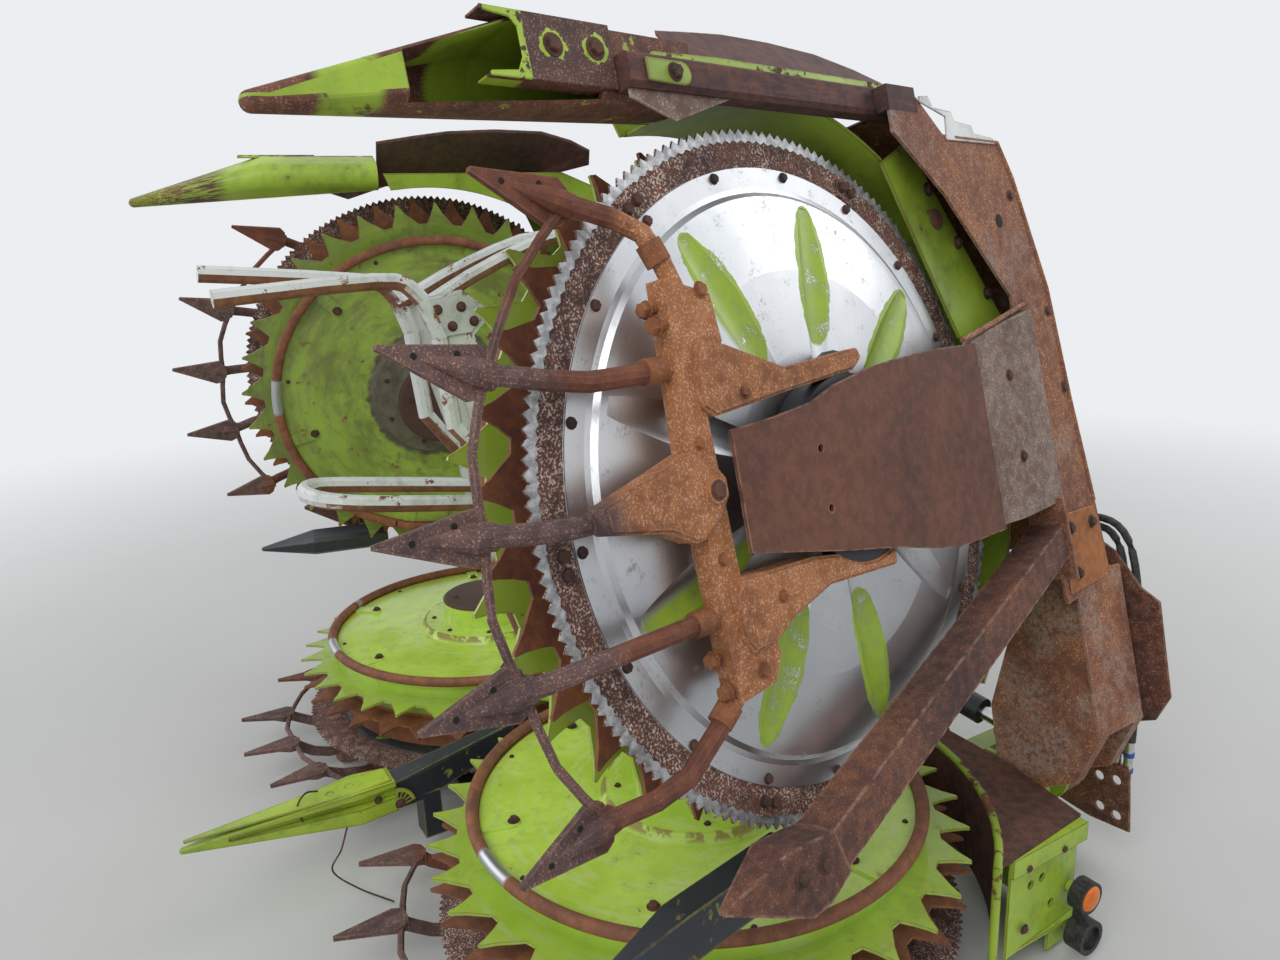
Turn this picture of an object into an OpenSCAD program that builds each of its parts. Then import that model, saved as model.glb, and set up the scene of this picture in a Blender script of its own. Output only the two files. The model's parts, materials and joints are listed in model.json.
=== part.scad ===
// Folding rotary crop header for a forage harvester, parked with both wings up.
// X runs sideways with plus to the left of travel, Y from the crop (minus) to the harvester, Z up.

/* [Layout] */
// Distance between the axes of two neighbouring rotors
rotor_pitch = 1500; // [1490:5:1540]
// Height of the knives above the floor
knife_z = 150; // [150:5:200]
// Angle through which a wing folds up
fold_angle = 104; // [96:1:104]
// Sideways place of the fold axis, in line with the rotors
fold_x = 1233.5; // [1225:1:1245]
// Height of the fold axis, in line with the rotors
fold_z = 373; // [365:1:385]
// Toe-in of the fold axis in degrees
fold_toe = 5.71; // [5:0.1:6.5]
// Rise of the fold axis towards the crop in degrees
fold_rise = 4.67; // [4:0.1:5.5]

/* [Rotors] */
// Number of teeth on each toothed ring
tooth_count = 32; // [24:1:36]
// Radius of the tooth tips
tooth_tip_r = 733; // [715:1:738]
// Radius of the tooth roots
tooth_root_r = 655; // [640:1:670]
// Thickness of a toothed ring
tooth_plate = 8; // [6:1:12]
// Height of the upper toothed ring over the knives
upper_ring_h = 212; // [200:1:225]
// Height of the lower toothed ring over the knives
lower_ring_h = 130; // [120:1:150]
// Outer radius of the drum between the rings
drum_r = 590; // [570:1:600]
// Sheet thickness of the rotor
rotor_sheet = 6; // [4:1:8]
// Height of the middle of the rim tube over the knives
rim_h = 290; // [280:1:300]
// Radius of the rim tube's own circle
rim_r = 609; // [600:1:615]
// Radius of the rim tube's section
rim_tube_r = 17; // [14:1:20]
// Radius of the hub cap
hub_r = 170; // [150:1:190]
// Height of the hub cap over the rim tube
hub_rise = 100; // [80:1:120]
// Radius of the circle of the rotor's bolt pads
pad_r = 510; // [480:5:530]
// Width of a bolt pad
pad_w = 46; // [36:1:56]
// Height of a bolt pad
pad_h = 7; // [5:1:10]

/* [Knives] */
// Radius of the knife points
knife_r = 720; // [710:1:725]
// Depth of the zigzag edge
knife_depth = 13; // [8:1:16]
// Number of points on the zigzag edge
knife_count = 180; // [120:10:200]
// Thickness of the knife ring
knife_plate = 5; // [4:1:6]
// Outer radius of the pressed dish under the knives
dish_r = 639; // [630:1:645]
// Depth of the pressed dish
dish_depth = 46; // [40:1:48]
// Sheet thickness of the dish
dish_sheet = 4; // [3:1:5]
// Radius of a pressed flute's round bottom
flute_r = 80; // [60:1:100]
// Turn of the flutes round the dish in degrees
flute_turn = 12; // [0:1:40]

/* [Drive] */
// Radius of the gearbox under each rotor
gearbox_r = 190; // [170:1:200]
// Height of the gearbox
gearbox_h = 68; // [60:1:70]
// Radius of the fixed post through the knife disc
post_r = 85; // [80:1:90]
// Radius of the spindle that carries the rotor
spindle_r = 60; // [50:1:70]
// Radial running clearance of the rotors and the pins
running_gap = 0.05; // [0.02:0.01:0.1]
// Width of the arm from a gearbox to its beam
arm_w = 200; // [180:5:220]

/* [Fingers] */
// Radius of a finger's tube
finger_r = 18; // [15:1:20]
// Height of the finger beam
beam_h = 45; // [40:1:50]
// Turn of the middle finger sets towards the middle
finger_turn = 6.5; // [4:0.5:8]
// Length of a finger's cast point
point_len = 190; // [170:5:210]
// Width of a finger's cast point at its back
point_w = 92; // [80:2:100]
// Radius of the guide straps between the points
strap_r = 9; // [7:1:11]

/* [Frame] */
// Thickness of the frame's sheets
sheet = 8; // [6:1:10]
// Radius of the guide wall behind a rotor
wall_r = 790; // [780:1:795]
// Height of the deck over the knives
deck_h = 240; // [235:1:250]
// Length of the frame's cross beam
cross_len = 2150; // [2100:10:2160]
// Depth of the cross beam
cross_d = 160; // [140:5:170]
// Height of the cross beam
cross_h = 110; // [100:5:115]
// Inner width of the throat that the crop leaves by
throat_w = 840; // [800:10:860]
// Height of the throat
throat_h = 760; // [700:10:800]
// Place of the harvester's face behind the rotor line
face_y = 1250; // [1240:5:1260]
// Width of a wing's lower brace
brace_w = 86; // [76:2:90]
// Sheet thickness of the outer dividers
divider_sheet = 6; // [4:1:8]
// Radius of the guide bars' tube
guide_bar_r = 24; // [20:1:27]

/* [Folding] */
// Radius of a fold pin
pin_r = 25; // [22:1:28]
// Radius of a fold knuckle
knuckle_r = 58; // [50:1:60]
// Thickness of a fold knuckle
knuckle_t = 40; // [30:1:44]
// Side clearance of a fold knuckle
knuckle_gap = 6; // [5:1:8]
// Outer radius of a fold cylinder's barrel
barrel_r = 42; // [36:1:46]
// Radius of a fold cylinder's rod
rod_r = 22; // [18:1:25]
// Distance of the rod's eye from the fold axis
crank_r = 160; // [155:1:165]

/* [Hidden] */
$fn = 64;

lime = [0.60, 0.76, 0.18];
rust = [0.36, 0.20, 0.13];
cast = [0.55, 0.28, 0.13];
silver = [0.78, 0.79, 0.80];
slate = [0.17, 0.20, 0.26];
white = [0.86, 0.87, 0.84];
black = [0.07, 0.07, 0.08];

// Levels over the knife plane
gearbox_top = -60;
gearbox_low = gearbox_top - gearbox_h;
skid_t = 8;
beam_top = -78;
wall_low = -30;
post_top = 60;
seat = 0.3;
hub_top = rim_h + hub_rise;
rim_gaps = [60, 200, -45];
rim_gap = 12;
pad_turn = 15;
flute_lean = 4;
flute_in = 2;
weld = 0.5;

// Sideways places of the rotors
centre_x = rotor_pitch / 2;
wing_x = 1.5 * rotor_pitch;

// Fold axis
fold_dir = [cos(fold_rise) * sin(fold_toe), -cos(fold_rise) * cos(fold_toe), sin(fold_rise)];
fold_point = [fold_x, 0, fold_z];
function unit(v) = v / norm(v);
fold_out = unit([1, 0, 0] - fold_dir * fold_dir[0]);
fold_up = cross(fold_dir, fold_out);
function fold_at(y) = fold_point + fold_dir * (y / fold_dir[1]);
knuckle_front_y = 895;
knuckle_rear_y = 1078;
crank_y = (knuckle_front_y + knuckle_rear_y) / 2;

// Children stand on the fold axis at y, with X outboard, Y up and Z along the axis to the front
module on_fold(y) {
    p = fold_at(y);
    multmatrix([[fold_out[0], fold_up[0], fold_dir[0], p[0]],
                [fold_out[1], fold_up[1], fold_dir[1], p[1]],
                [fold_out[2], fold_up[2], fold_dir[2], p[2]],
                [0, 0, 0, 1]]) children();
}

// Children are drawn as they work and come out folded up
module folded() {
    translate(fold_point) rotate(a = fold_angle, v = fold_dir) translate(-fold_point) children();
}

module centre_unit() { translate([centre_x, 0, knife_z]) children(); }
module wing_unit() { folded() translate([wing_x, 0, knife_z]) children(); }
module right_side() { mirror([1, 0, 0]) children(); }

// Box between two corners
module block(low, high) { translate(low) cube(high - low); }

// Straight round bar between two points
module bar(p, q, r) {
    d = q - p;
    translate(p) rotate([0, acos(d[2] / norm(d)), atan2(d[1], d[0])]) cylinder(r = r, h = norm(d), $fn = 32);
}

// Smooth path through a list of points, with some steps between each two
function between(a, b, c, d, t) = 0.5 * (2 * b + (c - a) * t + (2 * a - 5 * b + 4 * c - d) * t * t
    + (3 * b - a - 3 * c + d) * t * t * t);
function smooth(p, steps) = let (last = len(p) - 1) concat([for (i = [0 : last - 1]) for (k = [0 : steps - 1])
    between(p[max(i - 1, 0)], p[i], p[i + 1], p[min(i + 2, last)], k / steps)], [p[last]]);

// Round tube swept along a path; a point may carry its own radius as a fourth value
module swept(path, r, sides = 12) {
    last = len(path) - 1;
    function ahead(i) = unit(path[min(i + 1, last)] - path[max(i - 1, 0)]);
    function ring(i) = let (d = ahead(i), u = unit(cross(d, abs(d[2]) > 0.9 ? [0, 1, 0] : [0, 0, 1])), v = cross(d, u))
        [for (k = [0 : sides - 1]) path[i] + r * (u * cos(360 * k / sides) + v * sin(360 * k / sides))];
    polyhedron(points = [for (i = [0 : last]) each ring(i)],
        faces = concat([[for (k = [0 : sides - 1]) k]],
            [for (i = [0 : last - 1]) for (k = [0 : sides - 1]) let (a = i * sides + k, b = i * sides + (k + 1) % sides)
                each [[a, a + sides, b], [b, a + sides, b + sides]]],
            [[for (k = [sides - 1 : -1 : 0]) last * sides + k]]));
}

// Upright strip along a plan line
module fence(p, q, t, low, high) {
    s = unit([-(q[1] - p[1]), q[0] - p[0]]) * t / 2;
    translate([0, 0, low]) linear_extrude(high - low) polygon([p - s, q - s, q + s, p + s]);
}

// Rotor

// Outline of one tooth, as radius share from root to tip and share of the pitch
tooth_form = [[0, 0], [0.35, 0.10], [0.72, 0.17], [1, 0.20], [0.98, 0.25], [0.55, 0.42],
              [0.22, 0.62], [0, 0.76]];
module toothed_ring() {
    pitch = 360 / tooth_count;
    linear_extrude(tooth_plate) difference() {
        polygon([for (i = [0 : tooth_count - 1]) for (p = tooth_form)
            let (r = tooth_root_r + (tooth_tip_r - tooth_root_r) * p[0], a = (i + p[1]) * pitch)
            [r * cos(a), r * sin(a)]]);
        circle(r = drum_r - rotor_sheet / 2, $fn = 128);
    }
}

module rotor_shell() {
    s = rotor_sheet;
    dish_top = rim_h - rim_tube_r + 3;
    base_r = hub_r + 80;
    rotate_extrude($fn = 128) {
        polygon([[hub_r - s, rim_h + 12], [base_r, rim_h + 12], [base_r + 14, dish_top], [rim_r + 4, dish_top],
                 [rim_r + 4, dish_top - s], [base_r + 10, dish_top - s], [base_r - 4, rim_h + 12 - s],
                 [hub_r - s, rim_h + 12 - s]]);
        translate([drum_r - s, 30]) square([s, dish_top - 30]);
        translate([drum_r - 70, 30]) square([70, s]);
        translate([hub_r - s, rim_h]) square([s, hub_top - rim_h - 8]);
        polygon([[0, hub_top - s], [hub_r - s, hub_top - s - 8], [hub_r, hub_top - 8], [hub_r - 12, hub_top], [0, hub_top]]);
        translate([spindle_r + running_gap, post_top + 2]) square([24, hub_top - s - 10 - post_top]);
        translate([spindle_r + running_gap, rim_h + 12 - s]) square([hub_r - spindle_r - s, s]);
    }
}

module feed_rotor() {
    pad_top = rim_h - rim_tube_r + 3;
    color(lime) {
        rotor_shell();
        translate([0, 0, upper_ring_h]) toothed_ring();
        translate([0, 0, lower_ring_h]) rotate(360 / tooth_count / 2) toothed_ring();
        difference() {
            rotate_extrude($fn = 128) translate([rim_r, rim_h]) circle(r = rim_tube_r, $fn = 24);
            for (a = rim_gaps) rotate(a) block([rim_r - 40, -rim_gap / 2, rim_h - rim_tube_r + 4], [rim_r + 40, rim_gap / 2, rim_h + 40]);
        }
        for (a = [0 : 60 : 300]) rotate(a + pad_turn) translate([pad_r, 0, pad_top - 1]) linear_extrude(pad_h + 1) {
            circle(r = pad_w / 2, $fn = 32);
            translate([0, -pad_w / 2]) square([rim_r - rim_tube_r - pad_r, pad_w]);
        }
    }
}

// Knife disc of bolted blades with its pressed dish
joint_plates = [147, 87, 27, -33, -93, -153];
flute_count = 9;
flute_at = dish_r - 430;
module flute(grow) {
    translate([flute_at, 0, -dish_depth + flute_in - flute_r]) rotate([0, 90 - flute_lean, 0])
        cylinder(r = flute_r + grow, h = dish_r - 70 - flute_at);
}
module knife_disc() {
    t = knife_plate / 2;
    step = 360 / knife_count;
    low = -t - dish_sheet;
    under = [[post_r + 20, -dish_depth], [dish_r - 390, -dish_depth], [dish_r - 219, -dish_depth + 6],
             [dish_r - 80, low - 15], [dish_r - 62, low - 12], [dish_r - 52, low - 3], [dish_r - 41, low], [dish_r, low]];
    last = len(under) - 1;
    color(silver) {
        difference() {
            translate([0, 0, -t]) linear_extrude(knife_plate) difference() {
                polygon([for (i = [0 : 2 * knife_count - 1])
                    let (r = i % 2 == 0 ? knife_r : knife_r - knife_depth, a = i * step / 2) [r * cos(a), r * sin(a)]]);
                circle(r = dish_r - 24, $fn = 128);
            }
            for (a = joint_plates) rotate(a) block([dish_r + 4, -1, -20], [knife_r + 10, 1, 20]);
        }
        for (a = joint_plates) rotate(a) block([dish_r + 6, -28, -t - knife_plate], [knife_r - knife_depth - 12, 28, -t + weld]);
        difference() {
            union() {
                rotate_extrude($fn = 128) polygon(concat(under, [for (i = [last : -1 : 0]) under[i] + [0, dish_sheet + weld]]));
                intersection() {
                    for (i = [0 : flute_count - 1]) rotate(i * 360 / flute_count + flute_turn) flute(dish_sheet);
                    rotate_extrude($fn = 128) polygon(concat(under, [[dish_r, -t], [post_r + 20, -t]]));
                }
            }
            for (i = [0 : flute_count - 1]) rotate(i * 360 / flute_count + flute_turn) flute(0);
        }
        rotate_extrude($fn = 128) translate([post_r + running_gap, -dish_depth - 4]) square([28, dish_depth + 20]);
    }
}

// Gearbox with the post and spindle of one rotor, and the arm to the beam behind
module gearbox(arm_end, turn) {
    color(slate) {
        translate([0, 0, gearbox_low]) cylinder(r = gearbox_r, h = gearbox_h);
        translate([0, 0, gearbox_top]) cylinder(r = post_r, h = post_top - gearbox_top);
        translate([0, 0, post_top]) cylinder(r = spindle_r, h = hub_top - 30 - post_top);
        block([-arm_w / 2, 100, gearbox_low], [arm_w / 2, arm_end, gearbox_top]);
        rotate(turn) translate([0, 0, beam_top - 12 + seat]) linear_extrude(gearbox_top - beam_top + 12 - seat)
            polygon([[150, -60], [226, 6], [240, 40], [232, 72], [150, 90], [-150, 90], [-214, 82], [-226, 60], [-205, 4],
                     [-150, -60]]);
    }
}

// Skid under a gearbox, with two spacer ribs
skid_outline = [[130, -368], [136, -250], [147, -140], [172, -54], [190, 60], [197, 146], [204, 307], [200, 500],
                [-243, 500], [-236, 291], [-210, 170], [-182, 65], [-149, -101], [-88, -372]];
module skid() {
    low = -knife_z;
    color(rust) {
        difference() {
            translate([0, 0, low]) linear_extrude(skid_t) polygon(skid_outline);
            for (x = [-58, 58]) translate([x, -134, low - 1]) cylinder(r = 8, h = skid_t + 2, $fn = 24);
        }
        for (x = [-60, 60]) {
            block([x - 10, -110, low + skid_t], [x + 10, 380, gearbox_low]);
            block([x * 1.9 - 5, 200, low + skid_t], [x * 1.9 + 5, 440, low + skid_t + 10]);
        }
        translate([0, 500, low]) rotate([30, 0, 0]) block([-235, 0, 0], [192, 26, skid_t]);
    }
}

// Fingers, as [root, bend, neck, point] in plan from the rotor's axis
finger_table = [[[385, -390], [488, -422], [554, -514], [617, -693]],
                [[254, -400], [252, -600], [288, -735], [353, -914]],
                [[30, -470], [31, -690], [45, -800], [72, -982]],
                [[-184, -400], [-187, -650], [-203, -785], [-207, -972]],
                [[-310, -400], [-430, -555], [-462, -680], [-495, -863]]];
finger_root_h = beam_top - beam_h / 2;
strap_bow = 1.03;
socket_z = -13;
module cast_point(p, back) {
    a = atan2(p[1] - back[1], p[0] - back[0]);
    half = point_w / 2;
    translate([p[0], p[1], 0]) rotate(a) {
        hull() {
            translate([0, 0, -6]) linear_extrude(12) polygon([[0, -4], [0, 4], [-30, 9], [-30, -9]]);
            translate([0, 0, -9]) linear_extrude(14) polygon([[-point_len * 0.86, half], [-point_len * 0.97, half - 12],
                [-point_len, half - 30], [-point_len, -half + 26], [-point_len * 0.94, -half + 8],
                [-point_len * 0.84, -half]]);
        }
        hull() {
            translate([-point_len - 4, 0, socket_z]) rotate([0, 90, 0]) cylinder(r = finger_r + 6, h = 40, $fn = 10);
            translate([-point_len * 0.4, 0, -4]) cube([2, 8, 7], center = true);
        }
    }
}
function point_back(f) = f[3] + (point_len - 8) * unit(f[2] - f[3]);
module strap(f, g) {
    p = point_back(f);
    q = point_back(g);
    m = (p + q) / 2;
    path = [[p[0], p[1], -6], [m[0] * strap_bow, m[1] * strap_bow, -6], [q[0], q[1], -6]];
    swept(smooth(path, 2), strap_r, 6);
}
module finger(f) {
    p = [f[0][0], f[0][1], finger_root_h];
    q = [f[1][0], f[1][1], finger_root_h + 20];
    back = point_back(f);
    r = [f[2][0], f[2][1], -24] - 25 * unit([back[0] - f[1][0], back[1] - f[1][1], 60]);
    swept(smooth([p, q, r, [back[0], back[1], socket_z]], 2), finger_r, 10);
    cast_point(f[3], f[2]);
}
// Outlines of the cast beam and its three brackets, seen from below
beam_form = [[403, -434], [371, -330], [286, -320], [200, -392], [-130, -385], [-225, -330], [-285, -318],
             [-331, -345], [-338, -440], [113, -450]];
arm_left = [[294, -386], [279, -325], [220, -170], [236, 62], [214, 72], [193, 38], [176, -183], [157, -380], [176, -406],
            [240, -408]];
arm_right = [[-125, -396], [-132, -316], [-138, -192], [-186, 75], [-218, 71], [-202, -153], [-232, -275], [-262, -335],
             [-262, -392], [-234, -412], [-157, -415]];
nose_form = [[109, -463], [77, -404], [50, -382], [20, -382], [-13, -410], [-43, -460], [-43, -483], [-15, -533], [10, -659],
             [54, -664], [89, -533]];
bracket_rise = 12;
module bracket_form(form) {
    difference() {
        polygon(form);
        circle(r = gearbox_r + 2 * seat, $fn = 48);
    }
}
module bracket(form, low) {
    translate([0, 0, low]) linear_extrude(beam_top - 12 - low) offset(r = 8, $fn = 8) offset(delta = -8) bracket_form(form);
    translate([0, 0, low - 5]) linear_extrude(5 + weld) offset(delta = -6) bracket_form(form);
}
module finger_set() {
    low = beam_top - beam_h;
    color(cast) {
        translate([0, 0, low]) linear_extrude(beam_h) polygon(beam_form);
        for (form = [arm_left, arm_right, nose_form]) bracket(form, low - bracket_rise + 5);
        translate([34, -421, low - bracket_rise - 10]) cylinder(r = 22, h = 20, $fn = 16);
        for (f = finger_table) finger(f);
        for (i = [0 : len(finger_table) - 2]) strap(finger_table[i], finger_table[i + 1]);
    }
}

// Main frame

post_w = 80;
post_front_y = 885;
bar_foot_y = post_front_y - seat;
drum_x = 245;
drum_y = 850;
drum_z = 130;
drum_h = 420;
drum_post_r = 40;
lock_r = 20;
floor_z = 100;
cross_y = 860;
cross_z = 15;
lintel_top = throat_h + cross_z + cross_h;
support_x = 985;
module hinge_lug(y) {
    on_fold(y) linear_extrude(22, center = true) {
        circle(r = knuckle_r);
        polygon([[0, knuckle_r], [-150, knuckle_r], [-190, -180], [-40, -150], [knuckle_r * 0.9, -20]]);
    }
}
lug_step = (knuckle_t / 2 + knuckle_gap + 11) * fold_dir[1];
module main_frame() {
    color(lime) {
        block([-cross_len / 2, cross_y, cross_z], [cross_len / 2, cross_y + cross_d, cross_z + cross_h]);
        for (side = [0, 1]) mirror([side, 0, 0]) {
            block([throat_w / 2, post_front_y, cross_z + cross_h], [throat_w / 2 + post_w, 1080, throat_h + cross_z + cross_h]);
            block([support_x - 90, cross_y, cross_z + cross_h], [support_x - 20, 1150, 330]);
            block([support_x - 90, cross_y + cross_d, cross_z], [support_x - 20, 1150, cross_z + cross_h]);
            for (y = [knuckle_front_y, knuckle_rear_y]) for (s = [-1, 1]) hinge_lug(y + s * lug_step);
            for (y = [knuckle_front_y, knuckle_rear_y]) on_fold(y)
                cylinder(r = pin_r, h = knuckle_t + 2 * knuckle_gap + 60, center = true);
            on_fold(crank_y) translate([barrel_at[0], barrel_at[1], 0]) {
                for (s = [-1, 1]) translate([0, 0, s * 44]) linear_extrude(16, center = true) {
                    circle(r = 38);
                    translate([-130, -38]) square([130, 76]);
                }
                cylinder(r = eye_pin_r, h = 110, center = true);
            }
            block([throat_w / 2 - 60, cross_y + cross_d, 0], [throat_w / 2 + 60, cross_y + cross_d + 60, cross_z + cross_h]);
            translate([drum_x, drum_y, cross_z]) cylinder(r = drum_post_r, h = drum_z + drum_h + 20 - cross_z);
            fence([throat_w / 2 - 35, 715], [throat_w / 2 - 4, post_front_y], sheet, floor_z, 520);
        }
        translate([0, 0, floor_z]) linear_extrude(12)
            polygon([[-420, cross_y], [420, cross_y], [400, 760], [340, 650], [-340, 650], [-400, 760]]);
        block([-throat_w / 2, 990, lintel_top - 60], [throat_w / 2, 1070, lintel_top]);
    }
}

// Coupling frame at the harvester's face
module coupling_frame() {
    color(lime) {
        for (side = [0, 1]) mirror([side, 0, 0]) {
            block([throat_w / 2 + 10, 1080, 140], [throat_w / 2 + 70, face_y - 60, 880]);
            for (x = [throat_w / 2 - 4, throat_w / 2 + 70])
                translate([x, 0, 0]) rotate([90, 0, 90]) linear_extrude(14)
                    polygon([[1080, 760], [1100, 885], [face_y - 40, 885], [face_y, 860], [face_y, 790], [1180, 740]]);
        }
        translate([0, face_y - 55, 825]) rotate([0, 90, 0]) cylinder(r = 25, h = throat_w + 240, center = true);
        block([-throat_w / 2 - 20, 1090, 140], [throat_w / 2 + 20, 1170, 200]);
    }
}

// Socket for a centring pin of the harvester's feeder housing
module lock_socket() {
    x = throat_w / 2 + 40;
    color(lime) difference() {
        block([x - 40, face_y - 60 + seat, 200], [x + 40, face_y, 280]);
        translate([x, face_y - 70, 240]) rotate([-90, 0, 0]) cylinder(r = lock_r, h = 80);
    }
}

// Guide wall and deck behind a middle rotor
module centre_guide() {
    color(rust) {
        rotate(33) rotate_extrude(angle = 85, $fn = 128) translate([wall_r, wall_low]) square([sheet, deck_h - wall_low]);
        translate([0, 0, deck_h - sheet]) linear_extrude(sheet) difference() {
            polygon([[662, 430], [662, 480], [638, 800], [400, 850], [140, 864], [-330, 864], [-360, 700]]);
            circle(r = wall_r + 1, $fn = 128);
        }
        fence([-330, 868], [140, 868], sheet, cross_z + cross_h - knife_z, deck_h);
    }
}

// End box outboard of a middle rotor, with a reflector lamp and a roller
module end_box() {
    color(lime) {
        difference() {
            fence([652, 500], [632, 796], sheet, -60, deck_h - sheet);
            for (p = [[646, 590, 120], [643, 640, 120], [640, 690, 20]]) translate(p) rotate([0, 90, 0])
                cylinder(r = 12, h = 60, center = true);
        }
        fence([632, 790], [380, 828], sheet, -130, deck_h - sheet);
        translate([0, 0, -60]) linear_extrude(sheet) polygon([[652, 500], [656, 796], [420, 824], [430, 800], [560, 700]]);
        translate([0, 0, deck_h - 2 * sheet]) linear_extrude(sheet) polygon([[649, 500], [664, 500], [664, 796], [629, 796]]);
        fence([660, 500], [660, 796], sheet, deck_h - 60, deck_h - sheet - weld);
        fence([560, 700], [500, 812], sheet, -130, weld - 60);
        fence([639, 690], [632, 796], sheet, -130, weld - 60);
        for (z = [roller_z, lamp_z]) translate([636, 770, z]) rotate([0, 90, 0]) cylinder(r = 16, h = 30 - seat);
    }
}
lamp_z = 35;
roller_z = -80;
module end_roller() {
    color(black) {
        translate([666, 770, lamp_z]) rotate([0, 90, 0]) cylinder(r = 45, h = 40);
        translate([666, 770, roller_z]) rotate([0, 90, 0]) difference() {
            cylinder(r = 48, h = 50);
            translate([0, 0, 36]) cylinder(r = 34, h = 20);
        }
        block([666, 755, roller_z + 40], [690, 785, lamp_z - 40]);
    }
}

// Divider between the middle rotors
module divider_carrier() {
    color(slate) translate([0, 0, knife_z]) {
        hull() {
            block([-40, -640, 60], [40, -560, 150]);
            block([-22, -260, 150], [22, -230, 215]);
        }
        block([-40, -560, beam_top], [40, -500, 80]);
        block([-40, -540, beam_top], [40, -330, beam_top + 16]);
        block([-430, -365, beam_top], [430, -295, beam_top + 16]);
    }
}
module divider_nose() {
    color(lime) translate([0, 0, knife_z]) difference() {
        hull() {
            translate([0, -1240, 128]) sphere(r = 10, $fn = 16);
            block([-62, -760, 60], [62, -745, 165]);
            block([-50, -645, 60], [50, -640 - seat, 160]);
        }
        for (s = [-1, 1]) hull() {
            translate([s * 50, -640, 125]) cube([30, 2, 34], center = true);
            translate([s * 62, -750, 126]) cube([30, 2, 34], center = true);
            translate([s * 24, -1120, 128]) cube([12, 2, 10], center = true);
        }
    }
}
module guide_bars() {
    r = guide_bar_r;
    color(white) {
        for (side = [0, 1]) mirror([side, 0, 0]) {
            swept(smooth([[110, -970, 1800 + side * 60], [110, -565, 1822], [118, -460, 1790], [126, -400, 1660],
                          [150, -271, 1267], [400, 700, 900], [452, bar_foot_y - 22, 848]], 3), r, 10);
            swept(smooth([[118, -440, 1745], [100, -200, 1860], [80, 60, 1930], [90, 420, 1860], [200, 860, 1300],
                          [300, 1030, lintel_top + 12]], 3), r * 0.9, 10);
            block([throat_w / 2, bar_foot_y - 34, 800], [throat_w / 2 + post_w - 10, bar_foot_y, 890]);
            block([265, 995, lintel_top + seat], [335, 1065, lintel_top + 20]);
            translate([128, 0, 0]) rotate([90, 0, 90]) linear_extrude(6)
                polygon([[-455, 1770], [-330, 1790], [-240, 1720], [-300, 1660], [-190, 1260], [-150, 1120],
                         [-270, 1120], [-290, 1270], [-400, 1660]]);
        }
        swept(smooth([[134, -200, 1150], [140, -600, 1215], [105, -745, 1240], [0, -785, 1245], [-105, -745, 1240],
                      [-140, -600, 1215], [-134, -200, 1150]], 3), r, 10);
    }
}
module feed_drum() {
    color(rust) translate([drum_x, drum_y, drum_z]) difference() {
        union() {
            cylinder(r = 110, h = drum_h);
            for (z = [70, 210, 350]) translate([0, 0, z]) linear_extrude(tooth_plate)
                polygon([for (i = [0 : 11]) for (p = [[105, 0], [140, 0.3], [105, 0.6]])
                    [p[0] * cos((i + p[1]) * 30), p[0] * sin((i + p[1]) * 30)]]);
        }
        translate([0, 0, -1]) cylinder(r = drum_post_r + running_gap, h = drum_h + 2);
    }
}

// Brown guard plate behind a fold hinge, on its own stay, with the plate that the couplings park on
guard_y = 1205;
module rear_guard() {
    color(rust) translate([0, guard_y + sheet, 0]) rotate([90, 0, 0]) linear_extrude(sheet)
        polygon([[960, 330], [1100, 365], [1226, 457], [1336, 513], [1371, 597], [1313, 867], [1258, 892],
                 [1170, 980], [1080, 1020], [960, 1010]]);
    color(lime) {
        block([905, 1150, 130], [960, guard_y, 1010]);
        block([905, guard_y, 130], [960, guard_y + sheet, 1010]);
        translate([0, guard_y + sheet, 0]) rotate([90, 0, 0]) linear_extrude(sheet) difference() {
            polygon([[960, 130], [1165, 108], [1294, 121], [1276, 321], [1151, 300], [960, 329]]);
            for (p = [[1185, 260], [1240, 270], [1195, 160], [1250, 155]]) translate(p) circle(r = 15);
        }
    }
}

// Two hoses, clipped along the guard and parked on its lower plate
hose_r = 11;
coupling_r = 13;
coupling_len = 120;
hose_y = guard_y + sheet + hose_r + seat;
coupling_y = guard_y + sheet + coupling_r + seat;
hose_top = [[520, hose_y, 900], [900, hose_y, 985], [1080, hose_y, 1035]];
hose_ends = [[1225, coupling_y, 400], [1258, coupling_y, 402]];
module hoses() {
    color(black) {
        swept(smooth(concat(hose_top, [[1160, hose_y, 1010], [1200, hose_y, 880], [1225, hose_y, 640],
                 [1225, coupling_y, 500], hose_ends[0]]), 4), hose_r, 9);
        swept(smooth(concat([for (p = hose_top) p + [0, 0, 27]], [[1180, hose_y, 1037], [1232, hose_y, 907],
                 [1258, hose_y, 667], [1258, coupling_y, 500], hose_ends[1]]), 4), hose_r, 9);
    }
}
module couplings() {
    color(silver) {
        for (p = hose_ends) translate([p[0], p[1], p[2] - coupling_len]) cylinder(r = coupling_r, h = coupling_len - seat);
    }
}

// Gearbox for the harvester's drive shaft
module drive_box() {
    x = throat_w / 2 + 200;
    color(slate) {
        block([-x - 80, 1020, 60], [-x + 80, 1140, 260]);
        translate([-x, 1140, 170]) rotate([-90, 0, 0]) cylinder(r = 22, h = 80);
        translate([-x, 1140, 170]) rotate([-90, 0, 0]) cylinder(r = 60, h = 15);
    }
}

// Wing

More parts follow.
